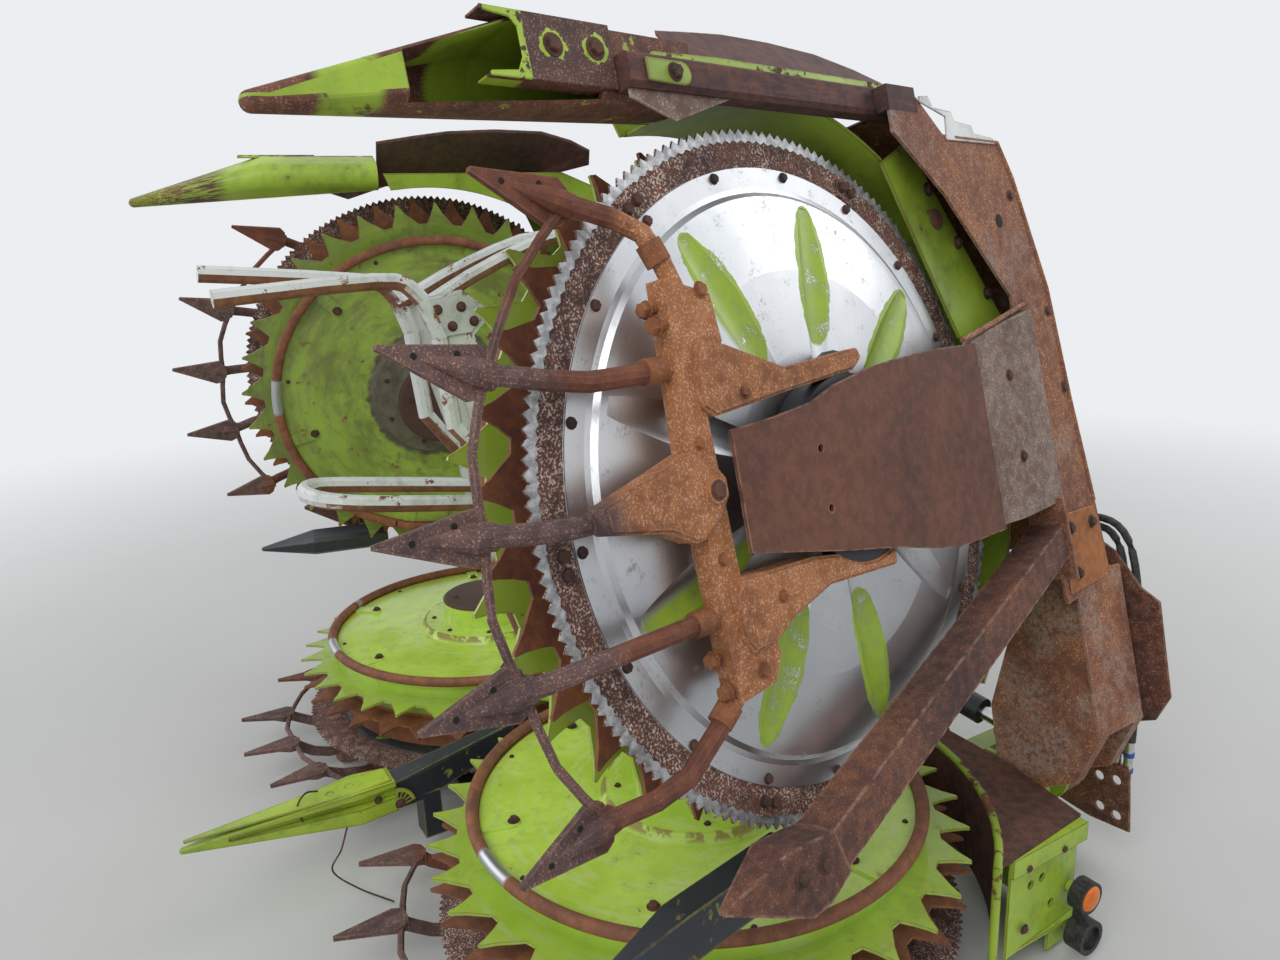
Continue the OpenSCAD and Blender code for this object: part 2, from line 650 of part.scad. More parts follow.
// Outboard edge of the wing's side channel, and its lower edge
channel_x = 812;
channel_low = -74;
module wing_frame() {
    outer = [[channel_x - 30, -360], [channel_x - 30, 495], [700, 590], [698, 857], [608, 908], [311, 1005], [-430, 1100], [-520, 1110]];
    color(rust) {
        translate([0, 0, -108]) linear_extrude(sheet) difference() {
            polygon(concat([for (i = [1 : len(outer) - 1]) outer[i]],
                [[-520, 830], [-100, 800], [300, 800], [560, 560], [700, 380], [channel_x - 30, 380]]));
            circle(r = 700, $fn = 128);
        }
        for (i = [1 : len(outer) - 3]) fence(outer[i], outer[i + 1], sheet, -108, deck_h - sheet);
        translate([channel_x, 495, 0]) rotate([90, 0, 0]) linear_extrude(864)
            polygon([[-62, channel_low + 8], [-52, channel_low], [-6, channel_low], [0, channel_low + 6], [0, wall_low],
                     [-62, wall_low]]);
        block([channel_x - 62, 380, -108], [channel_x - 6, 495, channel_low]);
        fence(brace_plate[0], brace_plate[1], sheet, -150, -50);
    }
    color(rust) translate([-wing_x, 0, -knife_z]) {
        for (y = [knuckle_front_y, knuckle_rear_y]) on_fold(y) linear_extrude(knuckle_t, center = true)
            difference() {
                union() {
                    circle(r = knuckle_r);
                    polygon([[0, knuckle_r], [250, 60], [620, -90], [640, -240], [200, -268], [60, -180], [20, -54]]);
                }
                circle(r = pin_r + running_gap);
            }
        on_fold(crank_y) {
            linear_extrude(240, center = true)
                polygon([[200, -268], [640, -248], [640, -240], [200, -260]]);
            for (s = [-1, 1]) translate([0, 0, s * (crank_in + 8)]) linear_extrude(16, center = true) {
                translate(crank_r * [cos(crank_work), sin(crank_work)]) circle(r = 40);
                polygon([[110, 100], [175, 50], [260, -30], [260, -60], [120, -60], [90, 60]]);
            }
            linear_extrude(180, center = true) polygon([[150, -60], [260, -60], [260, -44], [150, -44]]);
        }
    }
}
module wing_guide() {
    color(lime) {
        rotate(-8) rotate_extrude(angle = 150, $fn = 128) translate([wall_r, wall_low]) square([sheet, deck_h - wall_low]);
        translate([0, 0, deck_h - sheet]) linear_extrude(sheet) difference() {
            polygon([[channel_x + 28, -150], [channel_x + 28, 520], [700, 857], [608, 905], [311, 1001], [-430, 1096], [-560, 1000], [-640, 440]]);
            circle(r = wall_r + 1, $fn = 128);
        }
        translate([0, 0, wall_low - sheet]) linear_extrude(sheet + weld) polygon([[655, 424], [708, 548], [239, 884], [221, 640]]);
    }
}
// Shield that leans outboard from the channel: each section's foot and head as [out from the channel's edge, y, z]
shield_t = 10;
shield_foot = wall_low + seat;
shield_line = [
    [[-4, -150, shield_foot], [115, -151, 56]], [[-4, -40, shield_foot], [139, -20, 82]],
    [[-4, 80, shield_foot], [159, 106, 103]], [[-4, 230, shield_foot], [169, 287, 119]],
    [[-4, 370, shield_foot], [163, 467, 122]], [[-4, 450, shield_foot], [129, 590, 100]],
    [[-4, 490, shield_foot], [89, 676, 73]], [[-10, 545, -17], [34, 688, 31]]];
module shield() {
    last = len(shield_line) - 1;
    color(rust) translate([channel_x, 0, 0]) polyhedron(
        points = [for (s = shield_line) each [s[0] - [shield_t, 0, 0], s[0], s[1], s[1] - [shield_t, 0, 0]]],
        faces = concat([[0, 3, 2, 1]], [for (i = [0 : last - 1]) for (k = [0 : 3]) let (a = 4 * i + k, b = 4 * i + (k + 1) % 4)
            each [[a, b, b + 4], [a, b + 4, a + 4]]], [[4 * last, 4 * last + 1, 4 * last + 2], [4 * last, 4 * last + 2, 4 * last + 3]]));
}
brace_plate = [[-450, 824], [-230, 809]];
brace_top = -54;
brace_low = -140;
module brace() {
    color(rust) {
        intersection() {
            fence([-330, 852], [-692, -330], brace_w, brace_low, brace_top);
            translate([0, -sheet / 2 - seat, -150]) linear_extrude(100)
                polygon(concat(brace_plate, [[-230, -700], [-900, -700], [-900, 855]]));
        }
        hull() {
            translate([0, 0, brace_low - 4]) linear_extrude(brace_top - brace_low) polygon([[-630, -290], [-722, -262], [-750, -330],
                [-752, -385], [-614, -420]]);
            translate([-656, -565, -112]) cube([8, 8, 14], center = true);
        }
    }
}
module hood(inset) {
    hull() {
        translate([715, -1000, 40]) sphere(r = 16 - inset, $fn = 16);
        translate([810, -560, 104]) rotate([-90, 0, 0]) cylinder(r = 50 - inset, h = 400 - inset, $fn = 32);
        block([752 + inset, -560, wall_low + inset], [864 - inset, -160 - inset, 60]);
    }
}
module outer_divider() {
    t = divider_sheet;
    color(rust) {
        difference() {
            hood(0);
            hood(t);
            intersection() {
                translate([0, 0, -3 * t]) hood(t);
                block([600, -770, -80], [900, -400, 200]);
            }
        }
        for (x = [756, 860]) block([x, -640, wall_low - 8], [x + 4, -375, wall_low + 30]);
    }
}
inner_section = [[-42, 5], [42, 5], [42, 80], [26, 95], [-26, 95], [-42, 80]];
module inner_divider() {
    color(slate) {
        translate([-750, -230, 0]) rotate([90, 0, 0]) linear_extrude(310) polygon(inner_section);
        hull() {
            translate([-750, -539, 0]) rotate([90, 0, 0]) linear_extrude(2) polygon(inner_section);
            translate([-750, -750, 50]) sphere(r = 10, $fn = 16);
        }
        block([-750, -345, brace_top + seat], [-704, -265, 10]);
    }
}

// Fold cylinders
crank_work = 25;
crank_in = 30;
eye_pin_r = 16;
barrel_at = [throat_w / 2 + post_w + 143.5 - fold_x, 193];
function crank_place(turn) = crank_r * [cos(crank_work + turn), sin(crank_work + turn)];
eye_rest = crank_place(fold_angle);
cyl_rest = eye_rest - barrel_at;
cyl_len = norm(cyl_rest);
cyl_angle = atan2(cyl_rest[1], cyl_rest[0]);
module along_cylinder() {
    on_fold(crank_y) translate([barrel_at[0], barrel_at[1], 0]) rotate([0, 0, cyl_angle]) children();
}
module barrel() {
    color(slate) along_cylinder() difference() {
        union() {
            cylinder(r = 34, h = 72 - 2 * seat, center = true);
            rotate([0, 90, 0]) cylinder(r = 28, h = 60);
            translate([50, 0, 0]) rotate([0, 90, 0]) cylinder(r = barrel_r, h = cyl_len - 160);
        }
        translate([60, 0, 0]) rotate([0, 90, 0]) cylinder(r = rod_r + running_gap, h = cyl_len);
        cylinder(r = eye_pin_r + running_gap, h = 100, center = true);
    }
}
module rod() {
    color(silver) along_cylinder() {
        translate([cyl_len, 0, 0]) cylinder(r = 32, h = 2 * (crank_in - seat), center = true);
        translate([65, 0, 0]) rotate([0, 90, 0]) cylinder(r = rod_r, h = cyl_len - 65);
    }
}

main_frame();
coupling_frame();
lock_socket();  // lock_socket_l
right_side() lock_socket();  // lock_socket_r
centre_unit() centre_guide();  // guide_cl
right_side() centre_unit() centre_guide();  // guide_cr
centre_unit() end_box();  // end_box_l
right_side() centre_unit() end_box();  // end_box_r
centre_unit() gearbox(cross_y, -finger_turn);  // gearbox_cl
right_side() centre_unit() gearbox(cross_y, -finger_turn);  // gearbox_cr
centre_unit() skid();  // skid_cl
right_side() centre_unit() skid();  // skid_cr
centre_unit() rotate(-finger_turn) finger_set();  // fingers_cl
right_side() centre_unit() rotate(-finger_turn) finger_set();  // fingers_cr
divider_carrier();
divider_nose();
guide_bars();
rear_guard();  // rear_guard_l
right_side() rear_guard();  // rear_guard_r
hoses();
couplings();
drive_box();
centre_unit() end_roller();  // end_roller_l
right_side() centre_unit() end_roller();  // end_roller_r
feed_drum();  // feed_drum_l
right_side() feed_drum();  // feed_drum_r
centre_unit() feed_rotor();  // rotor_cl
right_side() centre_unit() feed_rotor();  // rotor_cr
centre_unit() knife_disc();  // knives_cl
right_side() centre_unit() knife_disc();  // knives_cr
wing_unit() wing_frame();  // frame_wl
right_side() wing_unit() wing_frame();  // frame_wr
wing_unit() wing_guide();  // guide_wl
right_side() wing_unit() wing_guide();  // guide_wr
wing_unit() gearbox(800, 0);  // gearbox_wl
right_side() wing_unit() gearbox(800, 0);  // gearbox_wr
wing_unit() shield();  // shield_l
right_side() wing_unit() shield();  // shield_r
wing_unit() skid();  // skid_wl
right_side() wing_unit() skid();  // skid_wr
wing_unit() finger_set();  // fingers_wl
right_side() wing_unit() finger_set();  // fingers_wr
wing_unit() brace();  // brace_wl
right_side() wing_unit() brace();  // brace_wr
wing_unit() outer_divider();  // outer_divider_l
right_side() wing_unit() outer_divider();  // outer_divider_r
wing_unit() inner_divider();  // inner_divider_l
right_side() wing_unit() inner_divider();  // inner_divider_r
wing_unit() feed_rotor();  // rotor_wl
right_side() wing_unit() feed_rotor();  // rotor_wr
wing_unit() knife_disc();  // knives_wl
right_side() wing_unit() knife_disc();  // knives_wr
barrel();  // barrel_l
right_side() barrel();  // barrel_r
rod();  // rod_l
right_side() rod();  // rod_r
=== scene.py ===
"""Dresses the folding rotary crop header: finishes for its CAD parts and the detailed pieces on them."""

import json
import math

import bmesh
import bpy
import numpy as np
from mathutils import Matrix, Vector
from mathutils.geometry import tessellate_polygon


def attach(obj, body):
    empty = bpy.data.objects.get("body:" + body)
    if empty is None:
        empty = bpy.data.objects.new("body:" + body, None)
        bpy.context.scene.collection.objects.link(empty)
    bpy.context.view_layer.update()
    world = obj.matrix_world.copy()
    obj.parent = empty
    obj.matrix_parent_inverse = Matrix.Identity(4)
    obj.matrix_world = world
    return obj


bl_info = {
    "name": "Folding crop header",
    "version": (1, 1, 0),
    "blender": (4, 5, 0),
    "location": "3D View > Sidebar > Header",
    "description": "Builds the finishes and the detailed pieces of a folding rotary crop header",
    "category": "Object",
}

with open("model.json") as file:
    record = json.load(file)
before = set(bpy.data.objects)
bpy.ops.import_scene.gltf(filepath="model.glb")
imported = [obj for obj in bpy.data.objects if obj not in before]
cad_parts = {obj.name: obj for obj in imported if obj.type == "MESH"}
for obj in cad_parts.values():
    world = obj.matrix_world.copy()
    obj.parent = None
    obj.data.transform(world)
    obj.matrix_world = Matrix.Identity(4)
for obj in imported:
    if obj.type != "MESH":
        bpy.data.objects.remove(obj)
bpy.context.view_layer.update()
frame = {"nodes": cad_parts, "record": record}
NODES = frame["nodes"]
JOINTS = {j["name"]: j for j in frame["record"]["behaviour"]["joints"]}

UNITS = ("cl", "cr", "wl", "wr")
WINGS = ("wl", "wr")
SIDES = ("fl", "fr")
TURN = 2 * math.pi
DOWN = (0, 0, -1)
UP = (0, 0, 1)
FRONT = (0, -1, 0)
REAR = (0, 1, 0)
OUT = (1, 0, 0)

# Sizes of the CAD parts that the pieces sit on, in metres over a unit's own axes
ROTOR_PITCH = 1.5
RIM_TUBE = 0.609
KNIFE_Z = 0.15
KNIFE_LOW = -0.0025
KNIFE_POINT = 0.7195
KNIFE_VALLEY = 0.7068
RING_LOW = -0.0065
JOINT_LOW = -0.0075
LENS = (0.7062, 0.77, 0.035)

# Angles in degrees
JOINT_PLATES = (147, 87, 27, -33, -93, -153)
FLUTES = 9
FLUTE_TURN = 12.0
FINGER_TURN = -6.5

# Undersides and places in millimetres
BEAM_LOW = -123
PANEL_LOW = -108
HINGE_LOW = -113.5
GUARD_REAR = 1213
COVER_BOLTS = ((816, -505), (820, -412))
FINGERS = (
    ((385, -390), (488, -422), (554, -514), (617, -693)),
    ((254, -400), (252, -600), (288, -735), (353, -914)),
    ((30, -470), (31, -690), (45, -800), (72, -982)),
    ((-184, -400), (-187, -650), (-203, -785), (-207, -972)),
    ((-310, -400), (-430, -555), (-462, -680), (-495, -863)),
)


def wing_place():
    """Takes a point of the left wing as it works, over its own knife plane, to its folded place."""
    joint = JOINTS["fold_l"]
    pivot = Vector(joint["pos_m"])
    turn = Matrix.Rotation(-math.radians(joint["range_deg"][1]), 4, Vector(joint["axis"]))
    start = Matrix.Translation((1.5 * ROTOR_PITCH, 0, KNIFE_Z))
    return Matrix.Translation(pivot) @ turn @ Matrix.Translation(-pivot) @ start


CENTRE = Matrix.Translation((ROTOR_PITCH / 2, 0, KNIFE_Z))
LEFT_PLACE = {
    "c": CENTRE,
    "t": CENTRE @ Matrix.Rotation(math.radians(FINGER_TURN), 4, "Z"),
    "w": wing_place(),
    "f": Matrix.Identity(4),
}
MIRROR = Matrix.Scale(-1, 4, (1, 0, 0))


def place(unit):
    """Matrix from a unit's own axes, x outboard and z over the knives, to the row frame."""
    left = LEFT_PLACE[unit[0]]
    return MIRROR @ left if unit[1] == "r" else left


def fixed_body(unit):
    """The body that carries a unit's gearbox: the frame, or the unit's wing."""
    return "wing_" + unit[1] if unit[0] == "w" else "frame"


def finger_axes(unit):
    """The axes of a unit's fingers, which are turned a little under the middle rotors."""
    return "t" + unit[1] if unit[0] == "c" else unit


# Shader and geometry maths


def maths(operation, swapped=False):
    """A method of Sock that adds one Math node; swapped is for a number on the left of a sign."""

    def method(self, *others):
        values = (*others, self) if swapped else (self, *others)
        return self.tree.node("ShaderNodeMath", {"operation": operation}, dict(enumerate(values)))

    return method


class Sock:
    """An output of a node tree that adds Math nodes as it is used in sums."""

    def __init__(self, tree, socket):
        self.tree = tree
        self.socket = socket

    __add__ = maths("ADD")
    __radd__ = maths("ADD", True)
    __sub__ = maths("SUBTRACT")
    __rsub__ = maths("SUBTRACT", True)
    __mul__ = maths("MULTIPLY")
    __rmul__ = maths("MULTIPLY", True)
    __truediv__ = maths("DIVIDE")
    sin = maths("SINE")
    abs = maths("ABSOLUTE")
    root = maths("SQRT")
    part = maths("FRACT")
    angle = maths("ARCTAN2")
    most = maths("MAXIMUM")
    least = maths("MINIMUM")

    def length(self, other):
        """The distance that two sides at a right angle span."""
        return (self * self + other * other).root()

    def step(self, low, high):
        """0 below low, 1 above high and smooth between."""
        settings = {"interpolation_type": "SMOOTHSTEP"}
        return self.tree.node("ShaderNodeMapRange", settings, {0: self, 1: low, 2: high})

    def fall(self, low, high):
        """1 below low, 0 above high and smooth between."""
        return 1 - self.step(low, high)


class Tree:
    """A node tree, where node() adds any node and gives back its output."""

    def __init__(self, tree):
        self.tree = tree

    def node(self, kind, settings=None, inputs=None, out=0):
        made = self.tree.nodes.new(kind)
        for name, value in (settings or {}).items():
            setattr(made, name, value)
        for name, value in (inputs or {}).items():
            if isinstance(value, Sock):
                self.tree.links.new(value.socket, made.inputs[name])
            else:
                made.inputs[name].default_value = value
        return Sock(self, made.outputs[out])

    def join(self, x, y, z):
        return self.node("ShaderNodeCombineXYZ", None, {0: x, 1: y, 2: z})

    def outs(self, sock, name):
        """Another output of the node that a socket belongs to."""
        return Sock(self, sock.socket.node.outputs[name])


# Finishes


class Finish(Tree):
    """A material with the patterns that the header's finishes share."""

    def __init__(self, name):
        self.material = bpy.data.materials.new(name)
        self.material.use_nodes = True
        super().__init__(self.material.node_tree)
        self.shader = self.tree.nodes["Principled BSDF"]
        self.spot = self.node("ShaderNodeTexCoord", out="Object")

    def noise(self, scale, detail=3.0, rough=0.55, at=None):
        inputs = {"Vector": at or self.spot, "Scale": scale, "Detail": detail, "Roughness": rough}
        return self.node("ShaderNodeTexNoise", None, inputs)

    def noises(self, *kinds):
        """Noises from slow to fine, each given by its scale, detail and roughness."""
        return [self.noise(*kind) for kind in kinds]

    def dot(self, one, other):
        settings = {"operation": "DOT_PRODUCT"}
        return self.node("ShaderNodeVectorMath", settings, {0: one, 1: other}, out="Value")

    def own_axes(self, unit):
        """The place on a unit's own axes, x outboard and z over the knives."""
        back = place(unit).inverted()
        return [self.dot(self.spot, tuple(row[:3])) + row[3] for row in list(back)[:3]]

    def facing(self, axis):
        """How far the surface faces an axis of the row frame, from -1 to 1."""
        return self.dot(self.node("ShaderNodeNewGeometry", out="Normal"), axis)

    def edges(self, width):
        """1 on the flat of a part and towards 0 at its edges."""
        return self.facing(self.node("ShaderNodeBevel", {"samples": 4}, {"Radius": width}))

    def rubbed(self, width, low, high, scale, start, end):
        """1 where edges of that width are rubbed bare, broken up by a noise of that scale."""
        return self.edges(width).fall(low, high) * self.noise(scale).step(start, end)

    def mix(self, share, low, high):
        """Colour from low to high as share goes from 0 to 1."""
        values = {0: share, 6: self.colour(low), 7: self.colour(high)}
        return self.node("ShaderNodeMix", {"data_type": "RGBA"}, values, out=2)

    def colour(self, value):
        return value if isinstance(value, Sock) else (*value[:3], 1)

    def finish(self, colour, rough, metal=0.0, bump=None, depth=0.0005):
        """Links the finished patterns to the shader's own sockets."""
        for name, value in (("Base Color", colour), ("Roughness", rough), ("Metallic", metal)):
            if isinstance(value, Sock):
                self.tree.links.new(value.socket, self.shader.inputs[name])
            else:
                self.shader.inputs[name].default_value = value
        if bump is not None:
            normal = self.node("ShaderNodeBump", None, {"Strength": 0.8, "Distance": depth, "Height": bump})
            self.tree.links.new(normal.socket, self.shader.inputs["Normal"])
        return self.material


RUST_DARK = (0.055, 0.024, 0.02)
RUST_BROWN = (0.145, 0.054, 0.033)
RUST_RED = (0.215, 0.08, 0.042)
RUST_ORANGE = (0.34, 0.125, 0.038)
BROWNS = (RUST_DARK, RUST_BROWN, RUST_RED)
FLECK = (0.6, 0.4, 0.29)


def scaled(colour, by):
    return tuple(c * by for c in colour)


def rust(f, dark, mid, light, fleck=FLECK, amount=0.3, grain=300.0):
    """Rust with slow changes of tone and small pale flecks; gives its colour and its relief."""
    slow, medium, fine = f.noises((4.0, 4.0, 0.6), (34.0, 4.0, 0.65), (grain, 2.0, 0.5))
    deep = f.mix(slow.step(0.35, 0.65), dark, mid)
    high = f.mix(slow.step(0.3, 0.7), mid, light)
    body = f.mix(medium.step(0.36, 0.66), deep, high)
    spread = (slow * 0.35 + medium * 0.65).step(0.34, 0.6)
    specks = fine.step(0.62 - 0.12 * amount, 0.7 - 0.09 * amount) * spread * min(1.0, amount * 1.2)
    return f.mix(specks, body, fleck), fine * 0.6 + medium * 0.6


def make_rust(name, *tones, fleck=FLECK, amount=0.3, grain=300.0, depth=0.0008, rough=0.78, edge=None):
    """Bare rusty iron, with its edges rubbed lighter where edge gives their width."""
    f = Finish(name)
    colour, relief = rust(f, *tones, fleck, amount, grain)
    if edge:
        colour = f.mix(f.rubbed(edge, 0.86, 0.97, 40.0, 0.38, 0.62) * 0.6, colour, fleck)
    return f.finish(colour, rough, 0.0, relief, depth)


def paint(f, coat, shade, wear, edge=0.006, iron=BROWNS):
    """Worn paint, rusty along its edges and in patches; gives its colour, how bare it is and its relief."""
    slow, medium, fine = f.noises((2.8, 4.0, 0.6), (24.0, 4.0, 0.65), (230.0, 2.0, 0.6))
    ragged = f.edges(edge) + (medium - 0.5) * 0.55 + (fine - 0.5) * 0.18
    patches = (slow * 0.45 + medium * 0.55).step(0.69 - 0.16 * wear, 0.73 - 0.16 * wear)
    bare = ragged.fall(0.78, 0.93).most(patches)
    tone = f.mix(slow.step(0.32, 0.68), coat, shade)
    grime = (medium * 0.5 + slow * 0.5).step(0.5, 0.64) * 0.45
    dirty = f.mix(grime, tone, tuple(c * 0.42 + 0.02 for c in shade))
    specks = fine.step(0.66, 0.72) * medium.step(0.45, 0.6)
    marked = f.mix(specks * 0.5, dirty, RUST_BROWN)
    under, relief = rust(f, *iron, amount=0.2)
    return f.mix(bare, marked, under), bare, relief * bare * 0.5 - bare * 0.5 + fine * 0.12


def make_paint(name, coat, shade, wear, edge=0.006, gloss=0.34, iron=BROWNS):
    """Worn paint with a gloss of its own, rougher where it is bare."""
    f = Finish(name)
    colour, bare, relief = paint(f, coat, shade, wear, edge, iron)
    return f.finish(colour, bare * 0.42 + gloss, 0.0, relief, 0.0006)


def make_rotor(unit, lime, dull):
    """Glossy lime rotor with a rusty rim tube, a dark hub and worn teeth; dull is how weathered it is."""
    f = Finish("rotor_paint_" + unit)
    x, y, z = f.own_axes(unit)
    r, turn = x.length(y), y.angle(x)
    slow, medium, fine = f.noises((2.4, 4.0, 0.6), (20.0, 4.0, 0.65), (240.0, 2.0, 0.6))
    # The coat: two greens, faded rings, smears, painted shade low on the drum under the dish, and dirt
    worn = tuple(c * (1 - 0.42 * dull) + 0.03 * dull for c in lime)
    bright = tuple(min(1, c * 1.22 + 0.06 * (1 - dull)) for c in worn)
    tone = f.mix(slow.step(0.35, 0.62), worn, bright)
    rings = f.noise(5.0, 3.0, 0.6, f.join(r * 9.0, turn * 0.7, z * 3.0))
    faded = (0.62, 0.72, 0.3) if dull < 0.5 else (0.26, 0.28, 0.14)
    tone = f.mix(rings.step(0.5, 0.66) * 0.5, tone, faded)
    smears = f.noise(1.7, 4.0, 0.75, f.join(r * 4.0, turn * 0.8, z * 2.0)).step(0.36, 0.68)
    tone = f.mix(smears * dull * 0.85, tone, (0.115, 0.11, 0.05))
    # Painted shade: below the dish rim the drum's colour is darkened towards half its tone
    tone = f.mix(z.fall(0.215, 0.27) * 0.45, tone, scaled(worn, 0.45))
    dirt = (medium * 0.5 + slow * 0.5).step(0.5, 0.66) * (0.25 + 0.45 * dull)
    tone = f.mix(dirt, tone, (0.13, 0.12, 0.05))
    # Where the iron shows: in spots, on the rim tube, the teeth and the hub, and low down
    spots = (medium * 0.7 + fine * 0.3).step(0.655 - 0.05 * dull, 0.675 - 0.05 * dull)
    iron, relief = rust(f, RUST_BROWN, RUST_RED, RUST_ORANGE, amount=0.15)
    rim = (r - RIM_TUBE).abs().fall(0.0175, 0.0205) * z.step(0.2735, 0.2765)
    silver = f.noise(1.6, 2.0, 0.5, f.join(turn, z * 0.2, 0.0)).step(0.6, 0.63) * rim
    hub = r.fall(0.1705, 0.1725) * z.step(0.372, 0.378)
    hub_ring = (r - 0.252).abs().fall(0.004, 0.012) * medium.step(0.42, 0.5)
    teeth = r.step(0.63, 0.66) * f.edges(0.005).fall(0.8, 0.95) * medium.step(0.34, 0.5)
    low = z.fall(0.146, 0.16) * (medium + r * 0.5).step(0.3, 0.62).most(0.75)
    worn_hub = (r + (medium - 0.5) * 0.07).fall(0.265, 0.285) * (0.94 if dull > 0.5 else 0.0)
    bare = rim.most(spots).most(teeth).most(low).most(hub_ring * 0.7)
    colour = f.mix(bare, tone, iron)
    hub_iron = f.mix(medium.step(0.3, 0.7), (0.085, 0.068, 0.058), (0.17, 0.145, 0.12))
    colour = f.mix(worn_hub, colour, hub_iron)
    colour = f.mix(hub, colour, f.mix(medium, (0.05, 0.026, 0.022), (0.12, 0.06, 0.048)))
    colour = f.mix(silver, colour, (0.5, 0.51, 0.53))
    rough = bare * 0.45 + hub * 0.3 + worn_hub * 0.3 + dirt * 0.3 + (0.2 + 0.22 * dull)
    dents = f.noise(7.0, 1.0, 0.4)
    return f.finish(colour, rough - silver * 0.35, silver * 0.9, relief * bare * 0.4 + dents * 2.2, 0.0012)


def make_disc(unit, lime):
    """Pressed silver dish with worn paint in some of its flutes, inside a flecked rusty knife ring."""
    f = Finish("knife_disc_" + unit)
    x, y, z = f.own_axes(unit)
    r, turn = x.length(y), y.angle(x)
    slow, medium, fine = f.noises((2.2, 3.0, 0.55), (22.0, 4.0, 0.65), (330.0, 2.0, 0.5))
    # Paint left in the leaf shapes of the chosen flutes
    flute = turn / TURN * FLUTES - FLUTE_TURN / 360 * FLUTES
    beside = ((flute + 0.5).part() - 0.5).abs() * r * (TURN / FLUTES)
    along = (r - 0.415) / 0.155
    swell = (1 - along * along).most(0.0).root() * 0.052
    leaf = (swell - beside + (medium - 0.5) * 0.022).step(0.0, 0.0015) * r.step(0.26, 0.27)
    chosen = (turn * 2.0 + 0.9).sin().step(-0.35, -0.25)
    left = (leaf * chosen) * (medium * 0.6 + fine * 0.4).fall(0.58, 0.64) * z.fall(-0.012, -0.01)
    leaf_tone = f.mix(medium.step(0.4, 0.65), scaled(lime, 0.82), (0.3, 0.42, 0.07))
    # The dish: two silvers, grime and a dark middle
    metal = f.mix(slow.step(0.3, 0.7), (0.52, 0.54, 0.57), (0.68, 0.69, 0.7))
    smear = f.noise(60.0, 3.0, 0.7, f.join(r * 3.0, turn * 0.8, 0.0))
    grime = (smear * 0.5 + medium * 0.5).step(0.54, 0.68) * 0.55
    metal = f.mix(grime, metal, (0.2, 0.19, 0.17))
    middle = r.fall(0.15, 0.24) * (medium + 0.2).step(0.45, 0.75)
    metal = f.mix(middle, metal, (0.14, 0.12, 0.09))
    inner = f.mix(left, metal, leaf_tone)
    # The knife ring, outside the dish and over it
    crust, relief = rust(f, RUST_DARK, (0.12, 0.056, 0.044), RUST_RED, (0.66, 0.56, 0.49), 1.0, 210.0)
    clean = (slow * 0.5 + medium * 0.5).fall(0.42, 0.5)
    crust = f.mix(clean * 0.75, crust, f.mix(medium, (0.11, 0.045, 0.03), (0.2, 0.075, 0.045)))
    outer = r.step(0.6392, 0.6398).most(z.step(-0.0024, -0.002))
    shiny = (1 - outer) * (1 - left) * (1 - middle * 0.8)
    rough = outer * 0.45 + slow * 0.16 + grime * 0.3 + 0.27
    height = relief * outer * 0.5 + f.noise(6.0, 2.0, 0.5) * 1.6 + smear * 0.12 + left * 0.1
    return f.finish(f.mix(outer, inner, crust), rough, shiny * (1 - grime * 0.5), height, 0.0016)


def make_fingers(unit):
    """Cast brackets in flecked orange rust, and darker tubes and points in front of them."""
    f = Finish("rusty_fingers_" + unit)
    x, y, _ = f.own_axes(finger_axes(unit))
    ahead = y * -1.0
    orange_tones = (0.21, 0.078, 0.03), (0.37, 0.135, 0.043), (0.48, 0.19, 0.065)
    brown_tones = (0.085, 0.028, 0.018), (0.15, 0.048, 0.026), (0.22, 0.072, 0.034)
    purple_tones = (0.062, 0.036, 0.036), (0.115, 0.066, 0.062), (0.18, 0.092, 0.078)
    orange, relief = rust(f, *orange_tones, FLECK, 0.75, 230.0)
    brown, tube_relief = rust(f, *brown_tones, FLECK, 0.15)
    purple, point_relief = rust(f, *purple_tones, FLECK, 0.45, 260.0)
    middle = (x - 0.034).abs().fall(0.09, 0.11) * ahead.fall(0.655, 0.675)
    front = ahead.step(0.44, 0.48) * (1 - middle)
    point = (ahead - x.abs() * 0.18).step(0.58, 0.66)
    colour = f.mix(point, f.mix(front, orange, brown), purple)
    colour = f.mix(f.rubbed(0.006, 0.84, 0.97, 36.0, 0.36, 0.6) * 0.5, colour, (0.46, 0.26, 0.17))
    height = relief * (1 - front) * 1.2 + tube_relief * front * 0.8 + point_relief * point * 0.2
    return f.finish(colour, 0.76, 0.0, height, 0.0013)


def make_wing_frame(unit):
    """Flecked rusty panels behind the rotor and the darker channel beside it."""
    f = Finish("rusty_wing_frame_" + unit)
    x, y, z = f.own_axes(unit)
    panel, relief = rust(f, RUST_BROWN, RUST_RED, RUST_ORANGE, FLECK, 0.6, 220.0)
    dark_tones = (0.035, 0.017, 0.018), (0.068, 0.028, 0.026), (0.13, 0.048, 0.034)
    dark, low_relief = rust(f, *dark_tones, FLECK, 0.12)
    channel = x.step(0.745, 0.749) * y.fall(0.495, 0.5)
    streak = f.noise(8.0, 4.0, 0.7, f.join(x * 9.0, y * 1.2, z * 9.0)).step(0.5, 0.66) * 0.4
    dark = f.mix(streak, dark, RUST_RED)
    grey = f.rubbed(0.008, 0.8, 0.96, 30.0, 0.3, 0.55)
    pale = f.noise(3.2, 4.0, 0.65).step(0.46, 0.62) * f.noise(70.0, 3.0, 0.7).step(0.36, 0.6) * 0.6
    panel = f.mix(grey * 0.55 + pale * 0.9, panel, (0.38, 0.32, 0.28))
    height = relief * (1 - channel) + low_relief * channel * 0.6
    return f.finish(f.mix(channel, panel, dark), 0.76, 0.0, height, 0.0012)


